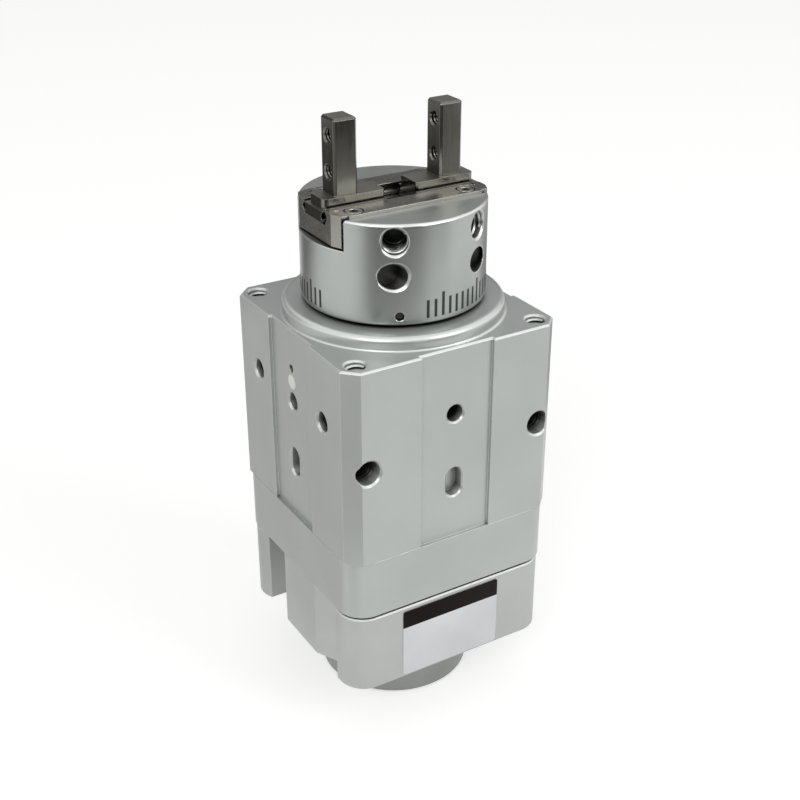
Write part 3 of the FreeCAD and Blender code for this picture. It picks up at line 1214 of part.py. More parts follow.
# Gripping piston
def make_piston():
    """Piston with rod, flat blade and magnet, at the open end of its stroke."""
    body = new_body("piston")
    skin = "(dims.cylinder_radius - dims.piston_gap)"
    floor = f"({skin} - dims.piston_seal_depth)"
    seal_low = f"({PISTON_BOTTOM} + dims.piston_seal_rise)"
    seal_high = f"({seal_low} + dims.piston_seal_height)"
    stub_end = f"({PISTON_BOTTOM} - dims.magnet_height - dims.nut_height)"
    steps = [("0", stub_end), ("dims.stub_radius", stub_end), ("dims.stub_radius", PISTON_BOTTOM)]
    steps += [(skin, PISTON_BOTTOM), (skin, seal_low), (floor, seal_low)]
    steps += [(floor, seal_high), (skin, seal_high), (skin, PISTON_TOP)]
    steps += [("dims.rod_radius", PISTON_TOP), ("dims.rod_radius", ROD_TOP), ("0", ROD_TOP)]
    spin(body, polygon(sketch(body, "piston_section", "XZ"), steps), "Revolution")
    long = "dims.blade_length / 2"
    wide = "dims.blade_width / 2"
    blade = rectangle(sketch(body, "blade", "XY", ROD_TOP), f"-{long}", long, f"-{wide}", wide)
    pad(body, blade, "dims.rod_top_drop + dims.blade_top")
    hole = circle(sketch(body, "blade_hole", "XZ"), "dims.centre_pin_radius", "0", CENTRE_PIN_LEVEL)
    pocket(body, hole, "dims.blade_width", middle=True)
    node("piston", body)
    pin = pin_across("centre_pin", "dims.centre_pin_radius", "dims.centre_pin_half", "0", CENTRE_PIN_LEVEL)
    node("centre_pin", pin)
    lip = "dims.cylinder_radius - dims.rod_gap"
    node("piston_seal", tube("piston_seal", lip, floor, "dims.piston_seal_height", seal_low))
    low = f"{PISTON_BOTTOM} - dims.magnet_height"
    magnet = tube("piston_magnet", "dims.magnet_radius", "dims.stub_radius", "dims.magnet_height", low)
    node("piston_magnet", magnet)
    nut = tube("magnet_nut", "dims.nut_radius", "dims.stub_radius", "dims.nut_height", stub_end)
    node("magnet_nut", nut)


make_main_body()
make_vane_housing()
make_base_cap()
make_fixed_pieces()
make_bearing("upper_bearing", "dims.sleeve_radius", "dims.upper_outer_radius", UPPER_BEARING_BOTTOM,
             "dims.upper_ball_radius", "dims.upper_ball_count")
make_bearing("lower_bearing", "dims.shaft_radius", "dims.lower_outer_radius", HOUSING_BOTTOM,
             "dims.lower_ball_radius", "dims.lower_ball_count")
make_clip("bearing_circlip", "(dims.upper_outer_radius + dims.clip_bite)",
          "(dims.upper_outer_radius - dims.clip_wall)", UPPER_BEARING_TOP, RIGHT)
make_gripper_head()
make_head_pieces()
make_clip("shaft_circlip", "(dims.shaft_radius + dims.clip_wall)", "(dims.shaft_radius - dims.clip_bite)",
          f"({HOUSING_BOTTOM} - dims.clip_thickness)", LEFT)
make_clip("cap_circlip", "(dims.cylinder_radius + dims.clip_bite)",
          "(dims.cylinder_radius - dims.clip_wall)", f"({END_CAP_BOTTOM} - dims.clip_thickness)", RIGHT)
make_finger_guide()
make_piston()
for hand, hand_side in (("left", LEFT), ("right", RIGHT)):
    make_finger(f"{hand}_finger", hand_side)
    make_guide_balls(f"{hand}_guide_balls", hand_side)
    make_lever(f"{hand}_lever", hand_side)
doc.recompute()

# Check every object, then write one file for each piece
for thing in doc.Objects:
    if "Invalid" in thing.State or "Error" in thing.State:
        raise RuntimeError(f"{thing.Label} has state {thing.State}")
os.makedirs("parts", exist_ok=True)
for thing in nodes:
    shape = thing.Shape
    if shape.isNull() or not shape.isValid() or not shape.Solids:
        raise RuntimeError(f"{thing.Label} has no sound solid")
    shape.exportStep(f"parts/{thing.Label}.step")
    print(f"{thing.Label}: {len(shape.Solids)} solids, {shape.Volume:.1f} mm3")
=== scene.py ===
"""Looks of a rotary pneumatic gripper: finishes, threads, rim scale, label, light and camera.

Lengths in the classes are millimetres in the part's own frame, turned to metres where a mesh is made.
"""

import json
import logging
import math
from dataclasses import dataclass
from enum import Enum
from typing import Any

import bpy
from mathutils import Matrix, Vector


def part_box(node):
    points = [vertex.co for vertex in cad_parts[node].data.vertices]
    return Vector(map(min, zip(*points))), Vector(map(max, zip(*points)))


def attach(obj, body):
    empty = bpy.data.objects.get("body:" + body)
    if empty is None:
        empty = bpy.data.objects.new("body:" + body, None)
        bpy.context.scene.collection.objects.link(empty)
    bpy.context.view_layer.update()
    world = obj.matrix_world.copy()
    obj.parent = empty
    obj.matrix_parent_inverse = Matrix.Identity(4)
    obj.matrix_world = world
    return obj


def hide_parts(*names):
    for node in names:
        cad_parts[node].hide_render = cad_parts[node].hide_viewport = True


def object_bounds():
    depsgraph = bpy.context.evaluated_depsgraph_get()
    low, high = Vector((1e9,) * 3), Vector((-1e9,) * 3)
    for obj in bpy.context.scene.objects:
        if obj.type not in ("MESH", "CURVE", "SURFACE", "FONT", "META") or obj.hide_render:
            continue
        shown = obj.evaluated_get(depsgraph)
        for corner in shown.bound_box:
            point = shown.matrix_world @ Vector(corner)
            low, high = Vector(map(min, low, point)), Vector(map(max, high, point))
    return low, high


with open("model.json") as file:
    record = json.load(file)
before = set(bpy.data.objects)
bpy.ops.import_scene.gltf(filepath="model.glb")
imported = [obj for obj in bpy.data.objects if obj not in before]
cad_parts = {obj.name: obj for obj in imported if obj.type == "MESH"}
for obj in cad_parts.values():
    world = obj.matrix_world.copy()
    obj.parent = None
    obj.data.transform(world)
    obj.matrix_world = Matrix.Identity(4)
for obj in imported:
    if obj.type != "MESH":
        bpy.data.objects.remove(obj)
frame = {"nodes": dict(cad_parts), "record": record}
CAD_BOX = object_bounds()

LOG = logging.getLogger("gripper")
MM = 0.001
SMOOTH_ANGLE = math.radians(32)
FULL_TURN = 2 * math.pi
# Vertices nearer than this many metres become one.
MERGE_REACH = 1e-7
# Side and height of an even triangle whose corners lie one unit from its middle.
TRIANGLE_SIDE = math.sqrt(3)
TRIANGLE_HEIGHT = 1.5

# Ends of the noise between which clouds and tool marks run from none to full, and its finer layers.
CLOUD_RANGE = (0.35, 0.68)
CLOUD_DETAIL = 3.0
MARK_RANGE = (0.3, 0.7)
MARK_DETAIL = 2.0
# Scale along Z that makes grinding marks twenty times as long as they are wide.
GRIND_SQUEEZE = 0.05
# Agreement of the true and the rounded normal at which an edge begins to take its paler wear colour
# and painted highlight, and takes it fully.
EDGE_RANGE = (0.985, 0.86)
# Share of open sky above a point at which the painted shade of recesses begins, and at which it covers
# all.
RECESS_SHADE_RANGE = (0.42, 0.17)
# Rise of a surface, from 0 for a wall to 1 for a level top, at which it turns from wall to slope,
# from level top to slope, and from wall to top.
# Slopes between walls and level tops take a painted highlight.
WALL_TO_SLOPE = (0.3, 0.5)
TOP_TO_SLOPE = (0.97, 0.9)
WALL_TO_TOP = (0.6, 0.9)
# Rays that look for edges and for open sky.
EDGE_RAYS = 6
SKY_RAYS = 8

# Sockets of the Mix node that take and give colours, which share their names with its other sockets.
MIX_A = 6
MIX_B = 7
MIX_RESULT = 2

Point = tuple[float, float, float]


class Body(Enum):
    """The moving bodies that new pieces ride on."""

    HOUSING = "housing"
    HEAD = "head"
    LEFT_FINGER = "left_finger"
    RIGHT_FINGER = "right_finger"


class Slot(Enum):
    """The material slots of the part."""

    ANODISED = "anodised_aluminium"
    CAST = "cast_aluminium"
    TURNED = "turned_aluminium"
    HARDENED = "hardened_steel"
    BEARING = "bearing_steel"
    PRESSED = "pressed_steel"
    DARK = "dark_steel"
    RUBBER = "nitrile_rubber"
    MAGNET = "bonded_magnet"
    NYLON = "white_nylon"
    LABEL = "label_film"


class Grain(Enum):
    """How the marks of a tool lie on a surface."""

    EVEN = "even"
    LATHE = "lathe"
    GROUND = "ground"


def linear(colour: str) -> tuple[float, float, float, float]:
    """Turn a colour as it is seen into the renderer's own values.

    Args:
        colour: sRGB hex value.

    Returns:
        Linear red, green and blue, and an alpha of 1.
    """
    channels = [int(colour[place:place + 2], 16) / 255 for place in (1, 3, 5)]
    straight = [c / 12.92 if c <= 0.04045 else ((c + 0.055) / 1.055) ** 2.4 for c in channels]
    return (straight[0], straight[1], straight[2], 1.0)


def per_metre(size: float) -> float:
    """Give the texture scale at which one mark is about this many millimetres wide."""
    return 1 / (size * MM)


def metres(*lengths: float) -> Vector:
    """Turn millimetres into a vector in metres."""
    return Vector(lengths) * MM


def add_node(
    tree: bpy.types.NodeTree,
    kind: str,
    values: dict[Any, Any] | None = None,
    links: dict[Any, bpy.types.NodeSocket] | None = None,
    **settings: Any,
) -> bpy.types.Node:
    """Add one shader node, set it up and link its inputs.

    Args:
        tree: Node tree that takes the node.
        kind: Node type after the word ShaderNode.
        values: Fixed value of each named or numbered input.
        links: Output that feeds each named or numbered input.
        settings: Properties of the node itself.

    Returns:
        The new node.
    """
    node = tree.nodes.new("ShaderNode" + kind)
    for name, value in settings.items():
        setattr(node, name, value)
    for name, value in (values or {}).items():
        node.inputs[name].default_value = value
    for name, output in (links or {}).items():
        tree.links.new(output, node.inputs[name])
    return node


def share_of(
    tree: bpy.types.NodeTree, value: bpy.types.NodeSocket, ends: tuple[float, float], full: float = 1.0
) -> bpy.types.NodeSocket:
    """Turn a value into a share, none at one end of a range and full at the other.

    Args:
        tree: Node tree that takes the node.
        value: Value to turn.
        ends: Values that give none and all.
        full: What the whole share comes to.

    Returns:
        The share, held at its ends outside the range.
    """
    limits = {"From Min": ends[0], "From Max": ends[1], "To Max": full}
    return add_node(tree, "MapRange", limits, {"Value": value}).outputs["Result"]


def mix_colours(
    tree: bpy.types.NodeTree, share: bpy.types.NodeSocket, under: bpy.types.NodeSocket, over: str
) -> bpy.types.NodeSocket:
    """Lay a plain colour over another by a share.

    Args:
        tree: Node tree that takes the node.
        share: How much of the plain colour shows.
        under: Colour that it covers.
        over: The plain colour as a hex value.

    Returns:
        The mixed colour.
    """
    mix = add_node(tree, "Mix", {MIX_B: linear(over)}, {0: share, MIX_A: under}, data_type="RGBA")
    return mix.outputs[MIX_RESULT]


def new_material(name: str) -> tuple[bpy.types.Material, bpy.types.NodeTree]:
    """Make a material with an empty node tree.

    Args:
        name: What the material is called.

    Returns:
        The material and its tree.
    """
    material = bpy.data.materials.new(name)
    material.use_nodes = True
    material.node_tree.nodes.clear()
    return material, material.node_tree


@dataclass(frozen=True)
class Finish:
    """A surface with clouded colour, fine marks, paler edges and slopes that paint a highlight,
    and painted shade in its recesses.

    Attributes:
        name: Name of the material.
        colour: Main colour.
        shade: Colour where the clouds lie.
        edge_wear_and_highlight: Colour of the edges, for wear and a painted highlight.
        roughness: Middle of the roughness.
        metallic: One for bare metal, less under a coating, none for plastics.
        swing: Whole change of the roughness over the marks.
        grain: How the tool marks lie.
        grain_mm: Width of one mark.
        depth_mm: Depth of the marks.
        cloud_mm: Width of one cloud.
        edge_mm: Radius to which edges are rounded.
        polish: How much smoother a rubbed edge is.
        recess_shade: Colour of the painted shade laid into recesses.
        recess_shade_mm: How far the painted shade of recesses looks for the open sky.
        specular: Reflection of a coating, 0.5 for most.
        dull_top: How much rougher an upper face is.
        slope_highlight: Colour of a painted highlight on faces that slope up, or nothing where they
            are like the others.
    """

    name: str
    colour: str
    shade: str
    edge_wear_and_highlight: str
    roughness: float
    metallic: float = 1.0
    swing: float = 0.08
    grain: Grain = Grain.EVEN
    grain_mm: float = 0.5
    depth_mm: float = 0.004
    cloud_mm: float = 16.0
    edge_mm: float = 0.26
    polish: float = 0.12
    recess_shade: str = "#1d1c1a"
    recess_shade_mm: float = 5.0
    specular: float = 0.5
    dull_top: float = 0.0
    slope_highlight: str = ""

    def marks(self, tree: bpy.types.NodeTree, place: bpy.types.NodeSocket) -> bpy.types.NodeSocket:
        """Lay the tool marks out over the surface.

        Args:
            tree: Node tree of the material.
            place: Object coordinates.

        Returns:
            Coordinates in which an even grain reads as this surface's marks.
        """
        if self.grain is Grain.EVEN:
            return place
        if self.grain is Grain.GROUND:
            squeeze = add_node(
                tree, "Mapping", {"Scale": (1.0, 1.0, GRIND_SQUEEZE)}, {"Vector": place}
            )
            return squeeze.outputs["Vector"]
        flat = add_node(tree, "VectorMath", {1: (1.0, 1.0, 0.0)}, {0: place}, operation="MULTIPLY")
        reach = add_node(tree, "VectorMath", links={0: flat.outputs[0]}, operation="LENGTH")
        height = add_node(tree, "SeparateXYZ", links={0: place})
        rings = add_node(
            tree, "CombineXYZ", links={"X": reach.outputs["Value"], "Z": height.outputs["Z"]}
        )
        return rings.outputs["Vector"]

    def base(
        self, tree: bpy.types.NodeTree, place: bpy.types.NodeSocket, tone: bpy.types.NodeSocket
    ) -> bpy.types.NodeSocket:
        """Colour the surface before its edges get their wear colour and painted highlight.

        Args:
            tree: Node tree of the material.
            place: Object coordinates, not used here.
            tone: Clouding from 0 to 1.

        Returns:
            The colour.
        """
        tints = {MIX_A: linear(self.colour), MIX_B: linear(self.shade)}
        mix = add_node(tree, "Mix", tints, {0: tone}, data_type="RGBA")
        return mix.outputs[MIX_RESULT]

    def highlight_slopes(
        self, tree: bpy.types.NodeTree, rise: bpy.types.NodeSocket, colour: bpy.types.NodeSocket
    ) -> bpy.types.NodeSocket:
        """Paint a highlight on the faces that slope up, such as chamfers.

        Args:
            tree: Node tree of the material.
            rise: How far the surface faces up, from -1 to 1.
            colour: Colour of the other faces.

        Returns:
            The colour.
        """
        if not self.slope_highlight:
            return colour
        off_wall = share_of(tree, rise, WALL_TO_SLOPE)
        off_top = share_of(tree, rise, TOP_TO_SLOPE)
        slope = add_node(tree, "Math", links={0: off_wall, 1: off_top}, operation="MULTIPLY")
        return mix_colours(tree, slope.outputs["Value"], colour, self.slope_highlight)

    def build(self) -> bpy.types.Material:
        """Make the material.

        Returns:
            The finished material.
        """
        material, tree = new_material(self.name)
        place = add_node(tree, "TexCoord").outputs["Object"]
        clouds = add_node(
            tree, "TexNoise", {"Scale": per_metre(self.cloud_mm), "Detail": CLOUD_DETAIL},
            {"Vector": place},
        )
        tone = share_of(tree, clouds.outputs["Fac"], CLOUD_RANGE)
        marks = add_node(
            tree, "TexNoise", {"Scale": per_metre(self.grain_mm), "Detail": MARK_DETAIL},
            {"Vector": self.marks(tree, place)},
        )
        rounded = add_node(tree, "Bevel", {"Radius": self.edge_mm * MM}, samples=EDGE_RAYS)
        surface = add_node(tree, "NewGeometry")
        match = add_node(
            tree, "VectorMath", links={0: rounded.outputs["Normal"], 1: surface.outputs["Normal"]},
            operation="DOT_PRODUCT",
        )
        edge = share_of(tree, match.outputs["Value"], EDGE_RANGE)
        # Edges take a paler wear colour, which also paints a highlight along them.
        rubbed = mix_colours(tree, edge, self.base(tree, place, tone), self.edge_wear_and_highlight)
        rise = add_node(tree, "SeparateXYZ", links={0: surface.outputs["Normal"]}).outputs["Z"]
        # Faces that slope up take a painted highlight.
        cut = self.highlight_slopes(tree, rise, rubbed)
        # Painted shade: recesses and narrow gaps darken towards the shade colour where little open sky
        # is above them.
        open_sky = add_node(
            tree, "AmbientOcclusion", {"Distance": self.recess_shade_mm * MM}, samples=SKY_RAYS
        )
        recess_shade_share = share_of(tree, open_sky.outputs["AO"], RECESS_SHADE_RANGE)
        recess_shaded = mix_colours(tree, recess_shade_share, cut, self.recess_shade)
        dull = add_node(
            tree, "MapRange",
            {"From Min": MARK_RANGE[0], "From Max": MARK_RANGE[1],
             "To Min": self.roughness - self.swing / 2, "To Max": self.roughness + self.swing / 2},
            {"Value": marks.outputs["Fac"]},
        )
        polished = add_node(
            tree, "Math", {1: -self.polish}, {0: edge, 2: dull.outputs["Result"]},
            operation="MULTIPLY_ADD",
        )
        topside = share_of(tree, rise, WALL_TO_TOP, self.dull_top)
        worked = add_node(
            tree, "Math", links={0: polished.outputs["Value"], 1: topside}, operation="ADD"
        )
        relief = add_node(
            tree, "Bump", {"Strength": 1.0, "Distance": self.depth_mm * MM},
            {"Height": marks.outputs["Fac"], "Normal": rounded.outputs["Normal"]},
        )
        shader = add_node(
            tree, "BsdfPrincipled", {"Metallic": self.metallic, "Specular IOR Level": self.specular},
            {"Base Color": recess_shaded, "Roughness": worked.outputs["Value"],
             "Normal": relief.outputs["Normal"]},
        )
        add_node(tree, "OutputMaterial", links={"Surface": shader.outputs["BSDF"]})
        return material


@dataclass(frozen=True)
class LabelFilm(Finish):
    """A printed film: a dark band along its top edge over a pale field.

    Attributes:
        band: Colour of the band.
        band_bottom: Height of the band's lower edge above the base.
    """

    band: str = "#150f0d"
    band_bottom: float = 20.9

    def base(
        self, tree: bpy.types.NodeTree, place: bpy.types.NodeSocket, tone: bpy.types.NodeSocket
    ) -> bpy.types.NodeSocket:
        """Colour the film, dark above the lower edge of the band.

        Args:
            tree: Node tree of the material.
            place: Object coordinates.
            tone: Clouding from 0 to 1.

        Returns:
            The colour.
        """
        field = super().base(tree, place, tone)
        height = add_node(tree, "SeparateXYZ", links={0: place})
        above = add_node(
            tree, "Math", {1: self.band_bottom * MM}, {0: height.outputs["Z"]},
            operation="GREATER_THAN",
        )
        return mix_colours(tree, above.outputs["Value"], field, self.band)


# Satin anodised aluminium, machined and etched: an even silver grey with soft reflections, its edges
# and up-facing slopes paler for a painted highlight.
ANODISED = Finish(
    "satin_anodised_aluminium", "#bbbfbd", "#b5b9b6", "#dadddb", 0.36, metallic=0.5, grain_mm=0.35,
    edge_mm=0.18, polish=0.06, slope_highlight="#dee1df",
)
# Blasted die-cast aluminium: a duller, slightly grainy grey, its edges and up-facing slopes paler for
# a painted highlight.
CAST = Finish(
    "blasted_cast_aluminium", "#c4c6c4", "#bbbdbb", "#d1d3d1", 0.5, metallic=0.5, grain_mm=0.3,
    depth_mm=0.006, polish=0.02, slope_highlight="#dfe1df",
)
# Turned aluminium for the cap under the housing: a dull mid grey, darker than the housing, which
# paints the shade beneath it.
SHADED_CAP = Finish(
    "shaded_turned_aluminium", "#979997", "#8d8f8d", "#aeb0ae", 0.42, grain=Grain.LATHE, grain_mm=0.4
)
# Fine-turned aluminium: rims and up-facing slopes paler for a painted highlight, and lathe rings,
# coarser than the real feed so that they show.
TURNED = Finish(
    "turned_aluminium", "#b1b5b2", "#a8aca9", "#e9ebe9", 0.33, grain=Grain.LATHE, grain_mm=0.3,
    depth_mm=0.001, edge_mm=0.3, recess_shade_mm=4.8, dull_top=0.06, slope_highlight="#e4e6e4",
)
# Cut thread darkened to paint the shade inside the holes: deep grey flanks with a dull sheen.
SHADED_THREAD = Finish("shaded_cut_thread", "#474846", "#393a38", "#7c7e7b", 0.4, grain_mm=0.2, edge_mm=0.05)
# Ground hardened steel: a warm mid grey with clear reflections and slightly paler edges for a painted
# highlight.
GROUND = Finish(
    "ground_hardened_steel", "#9a9892", "#8d8b85", "#aaa8a3", 0.3, grain_mm=0.3, depth_mm=0.002,
    cloud_mm=6.0, edge_mm=0.15, polish=0.02,
)
# Hardened steel browned by heat treatment and ground upright: darker than the rail, hardly rubbed.
TEMPERED = Finish(
    "tempered_hardened_steel", "#7c7a74", "#706e68", "#797771", 0.19, swing=0.05, grain=Grain.GROUND,
    grain_mm=0.3, depth_mm=0.0012, cloud_mm=7.0, edge_mm=0.12, polish=0.0, dull_top=0.26,
)
# Polished bearing steel: bright and mirror-like.
POLISHED = Finish(
    "polished_bearing_steel", "#b3b2ae", "#a4a39f", "#dddcd8", 0.12, grain_mm=0.4, depth_mm=0.001
)
# Pressed spring steel: mid grey, half dull.
PRESSED = Finish("pressed_spring_steel", "#9a9994", "#86857f", "#c4c3be", 0.34)
# Black oxide on steel: near black with a faint metal sheen.
BLACKED = Finish(
    "black_oxide_steel", "#3a3938", "#2a2928", "#7b7a77", 0.38, grain_mm=0.25, cloud_mm=3.0
)
# Moulded nitrile rubber: matt black.
RUBBER = Finish(
    "moulded_nitrile_rubber", "#1c1c1b", "#141413", "#2a2a29", 0.62, metallic=0.0, cloud_mm=5.0
)
# Bonded ferrite: dark grey and chalky.
FERRITE = Finish("bonded_ferrite", "#3c3a38", "#2f2e2c", "#55534f", 0.7, metallic=0.0, cloud_mm=3.0)
# Moulded nylon: warm white with a soft gloss.
NYLON = Finish("moulded_nylon", "#f3f2ec", "#eae8e0", "#f6f5f0", 0.32, metallic=0.0, cloud_mm=2.0)
# Printed polyester film: smooth white under a dark band.
FILM = LabelFilm(
    "printed_polyester_film", "#e9eaec", "#e1e2e5", "#f1f2f3", 0.5, metallic=0.0, swing=0.04,
    grain_mm=1.2, depth_mm=0.001, cloud_mm=9.0, edge_mm=0.06, specular=0.1,
)
# Engraving filled with paint: matt charcoal.
PAINT = Finish(
    "engraving_paint", "#2a2c2b", "#222423", "#3a3d3b", 0.55, metallic=0.0, cloud_mm=1.5, edge_mm=0.05
)

FINISHES: dict[Slot, Finish] = {
    Slot.ANODISED: ANODISED,
    Slot.CAST: CAST,
    Slot.TURNED: TURNED,
    Slot.HARDENED: GROUND,
    Slot.BEARING: POLISHED,
    Slot.PRESSED: PRESSED,
    Slot.DARK: BLACKED,
    Slot.RUBBER: RUBBER,
    Slot.MAGNET: FERRITE,
    Slot.NYLON: NYLON,
    Slot.LABEL: FILM,
}


class Paintbox:
    """Makes each finish once and puts it on objects."""

    def __init__(self) -> None:
        """Start with no material made."""
        self.made: dict[str, bpy.types.Material] = {}

    def put(self, piece: bpy.types.Object, finish: Finish) -> None:
        """Dress an object all over.

        Args:
            piece: Object to dress.
            finish: Finish that it gets.
        """
        if finish.name not in self.made:
            self.made[finish.name] = finish.build()
        if not piece.material_slots:
            piece.data.materials.append(None)
        for slot in piece.material_slots:
            slot.material = self.made[finish.name]


PAINTBOX = Paintbox()


def start_piece() -> None:
    """Deselect all, so that the next operators meet one new piece only."""
    bpy.ops.object.select_all(action="DESELECT")


def settle(piece: bpy.types.Object) -> None:
    """Put a piece's place into its mesh, merge its doubles and point its faces outwards.

    Args:
        piece: The one selected object.
    """
    bpy.context.view_layer.objects.active = piece
    bpy.ops.object.transform_apply(location=True, rotation=True, scale=True)
    bpy.ops.object.mode_set(mode="EDIT")
    bpy.ops.mesh.select_all(action="SELECT")
    bpy.ops.mesh.remove_doubles(threshold=MERGE_REACH)
    bpy.ops.mesh.normals_make_consistent(inside=False)
    bpy.ops.object.mode_set(mode="OBJECT")
    bpy.ops.object.shade_smooth_by_angle(angle=SMOOTH_ANGLE)


def apply_modifier(piece: bpy.types.Object, kind: str, **settings: Any) -> None:
    """Add a modifier to the active object and apply it.

    Args:
        piece: The active object.
        kind: Modifier type.
        settings: Its properties.
    """
    modifier = piece.modifiers.new(kind.title(), kind)
    for name, value in settings.items():
        setattr(modifier, name, value)
    bpy.ops.object.modifier_apply(modifier=modifier.name)


def copy_to(model: bpy.types.Object, place: Vector, axis: Vector) -> bpy.types.Object:
    """Copy a piece modelled at the origin, with a mesh of its own.

    Args:
        model: Piece that stands at the origin along Z.
        place: Where the copy's origin goes.
        axis: Direction that the copy's Z takes.

    Returns:
        The copy, with its place in its mesh.
    """
    start_piece()
    model.select_set(True)
    bpy.context.view_layer.objects.active = model
    bpy.ops.object.duplicate()
    copy = bpy.context.object
    copy.rotation_mode = "QUATERNION"
    copy.rotation_quaternion = Vector((0, 0, 1)).rotation_difference(axis)
    copy.location = place
    bpy.ops.object.transform_apply(location=True, rotation=True, scale=True)
    return copy


def rename(piece: bpy.types.Object, name: str) -> None:
    """Name a piece and its mesh."""
    piece.name = name
    piece.data.name = name


def join_as(name: str, pieces: list[bpy.types.Object]) -> bpy.types.Object:
    """Join pieces into one named object.

    Args:
        name: Name of the whole.
        pieces: Objects that become one.

    Returns:
        The joined object.
    """
    start_piece()
    for piece in pieces:
        piece.select_set(True)
    bpy.context.view_layer.objects.active = pieces[0]
    bpy.ops.object.join()
    whole = bpy.context.object
    rename(whole, name)
    return whole


def mount_piece(piece: bpy.types.Object, body: Body, finish: Finish) -> None:
    """Dress a new piece and let it move with its body.

    Args:
        piece: The finished piece.
        body: Body that carries it.
        finish: Finish that it gets.
    """
    PAINTBOX.put(piece, finish)
    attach(piece, body.value)
    LOG.info("%s on %s: %d faces", piece.name, body.value, len(piece.data.polygons))


def dress_solid(node: str, finish: Finish) -> None:
    """Give one solid of the part a finish of its own."""
    PAINTBOX.put(frame["nodes"][node], finish)


@dataclass(frozen=True)
class Thread:
    """A screw thread in a hole, cut as a helical ridge that stands in from the wall.

    Attributes:
        hole_radius: Radius of the plain hole.
        depth: Depth down to which the thread may go.
        pitch: Rise of one turn.
        ridge: How far the crest stands in from the wall.
        root: How far the foot reaches into the wall.
        lead_in: Plain length below the mouth.
        foot: Share of the pitch that the foot takes up.
        steps: Sides of one turn.
    """

    hole_radius: float
    depth: float
    pitch: float
    ridge: float = 0.26
    root: float = 0.06
    lead_in: float = 0.45
    foot: float = 0.92
    steps: int = 28

    def build(self) -> bpy.types.Object:
        """Model the thread at the origin, its mouth at z = 0 and its hole down -Z.

        Returns:
            The thread.
        """
        start_piece()
        bpy.ops.mesh.primitive_circle_add(
            vertices=3, radius=MM, rotation=(math.pi / 2, -math.pi / 2, 0)
        )
        thread = bpy.context.object
        bpy.ops.object.transform_apply(location=True, rotation=True, scale=True)
        bpy.ops.object.mode_set(mode="EDIT")
        bpy.ops.mesh.select_all(action="SELECT")
        height = self.ridge + self.root
        bpy.ops.transform.resize(
            value=(height / TRIANGLE_HEIGHT, 1.0, self.foot * self.pitch / TRIANGLE_SIDE),
            center_override=(0, 0, 0),
        )
        middle = self.hole_radius + self.root - height / 3
        bpy.ops.transform.translate(value=metres(middle, 0, -self.lead_in - self.pitch / 2))
        bpy.ops.object.mode_set(mode="OBJECT")
        turns = int((self.depth - self.lead_in - self.pitch) / self.pitch)
        apply_modifier(
            thread, "SCREW", axis="Z", angle=FULL_TURN, screw_offset=-self.pitch * MM,
            iterations=turns, steps=self.steps, render_steps=self.steps,
        )
        bpy.ops.object.mode_set(mode="EDIT")
        bpy.ops.mesh.select_all(action="SELECT")
        bpy.ops.mesh.fill_holes(sides=3)
        bpy.ops.object.mode_set(mode="OBJECT")
        settle(thread)
        return thread

    def cut(self, name: str, holes: list[tuple[Vector, Vector]]) -> bpy.types.Object:
        """Put the thread into each hole and join the copies.

        Args:
            name: Name of the joined threads.
            holes: Mouth of each hole and the direction out of it.

        Returns:
            The joined threads.
        """
        model = self.build()
        copies = [copy_to(model, place, axis) for place, axis in holes]
        bpy.data.objects.remove(model)
        return join_as(name, copies)


@dataclass
class MainBody:
    """The square block under the head, with its screw threads."""

    half_width: float = 20.0
    top: float = 71.0
    port_x: float = 16.35
    port_z: float = 53.2
    port_thread: Thread = Thread(hole_radius=2.1, depth=7.0, pitch=0.8, lead_in=1.35)
    side_y: float = 11.35
    side_z: float = 59.5
    side_thread: Thread = Thread(hole_radius=1.65, depth=7.0, pitch=0.7)
    corner: float = 16.9
    corner_thread: Thread = Thread(hole_radius=1.65, depth=6.0, pitch=0.7)

    def build(self) -> None:
        """Cut the threads of the air ports and of the fixing holes."""
        signs = (-1, 1)
        ports = [
            (metres(x * self.port_x, y * self.half_width, self.port_z), Vector((0, y, 0)))
            for x in signs for y in signs
        ]
        port_threads = self.port_thread.cut("port_threads", ports)
        # The port and side threads take the darkened thread finish that paints the shade in their
        # holes.
        mount_piece(port_threads, Body.HOUSING, SHADED_THREAD)
        sides = [
            (metres(x * self.half_width, y * self.side_y, self.side_z), Vector((x, 0, 0)))
            for x in signs for y in signs
        ]
        side_threads = self.side_thread.cut("side_threads", sides)
        mount_piece(side_threads, Body.HOUSING, SHADED_THREAD)
        corners = [
            (metres(x * self.corner, y * self.corner, self.top), Vector((0, 0, 1)))
            for x in signs for y in signs
        ]
        corner_threads = self.corner_thread.cut("corner_threads", corners)
        mount_piece(corner_threads, Body.HOUSING, ANODISED)


@dataclass
class VaneHousing:
    """The lower housing with its bare label."""

    label_corner: float = 0.5
    label_edge: float = 0.03

    def dress(self) -> None:
        """Give the cap under the housing a darker turned finish, which paints the shade beneath the
        housing.
        """
        dress_solid("base_cap", SHADED_CAP)

    def build(self) -> None:
        """Model the label as a thin film with round corners."""
        low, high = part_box("label")
        size = high - low
        start_piece()
        bpy.ops.mesh.primitive_plane_add(
            size=1.0, location=((low.x + high.x) / 2, low.y, (low.z + high.z) / 2),
            rotation=(math.pi / 2, 0, 0),
        )
        label = bpy.context.object
        label.scale = (size.x, size.z, 1.0)
        bpy.ops.object.transform_apply(location=True, rotation=True, scale=True)
        bpy.ops.object.mode_set(mode="EDIT")
        bpy.ops.mesh.select_all(action="SELECT")
        bpy.ops.mesh.bevel(
            affect="VERTICES", offset_type="OFFSET", offset=self.label_corner * MM, segments=6
        )
        bpy.ops.object.mode_set(mode="OBJECT")
        apply_modifier(label, "SOLIDIFY", thickness=size.y, offset=-1.0)
        apply_modifier(label, "BEVEL", width=self.label_edge * MM, segments=2, limit_method="ANGLE")
        settle(label)
        rename(label, "label_film")
        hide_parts("label")
        mount_piece(label, Body.HOUSING, FILM)


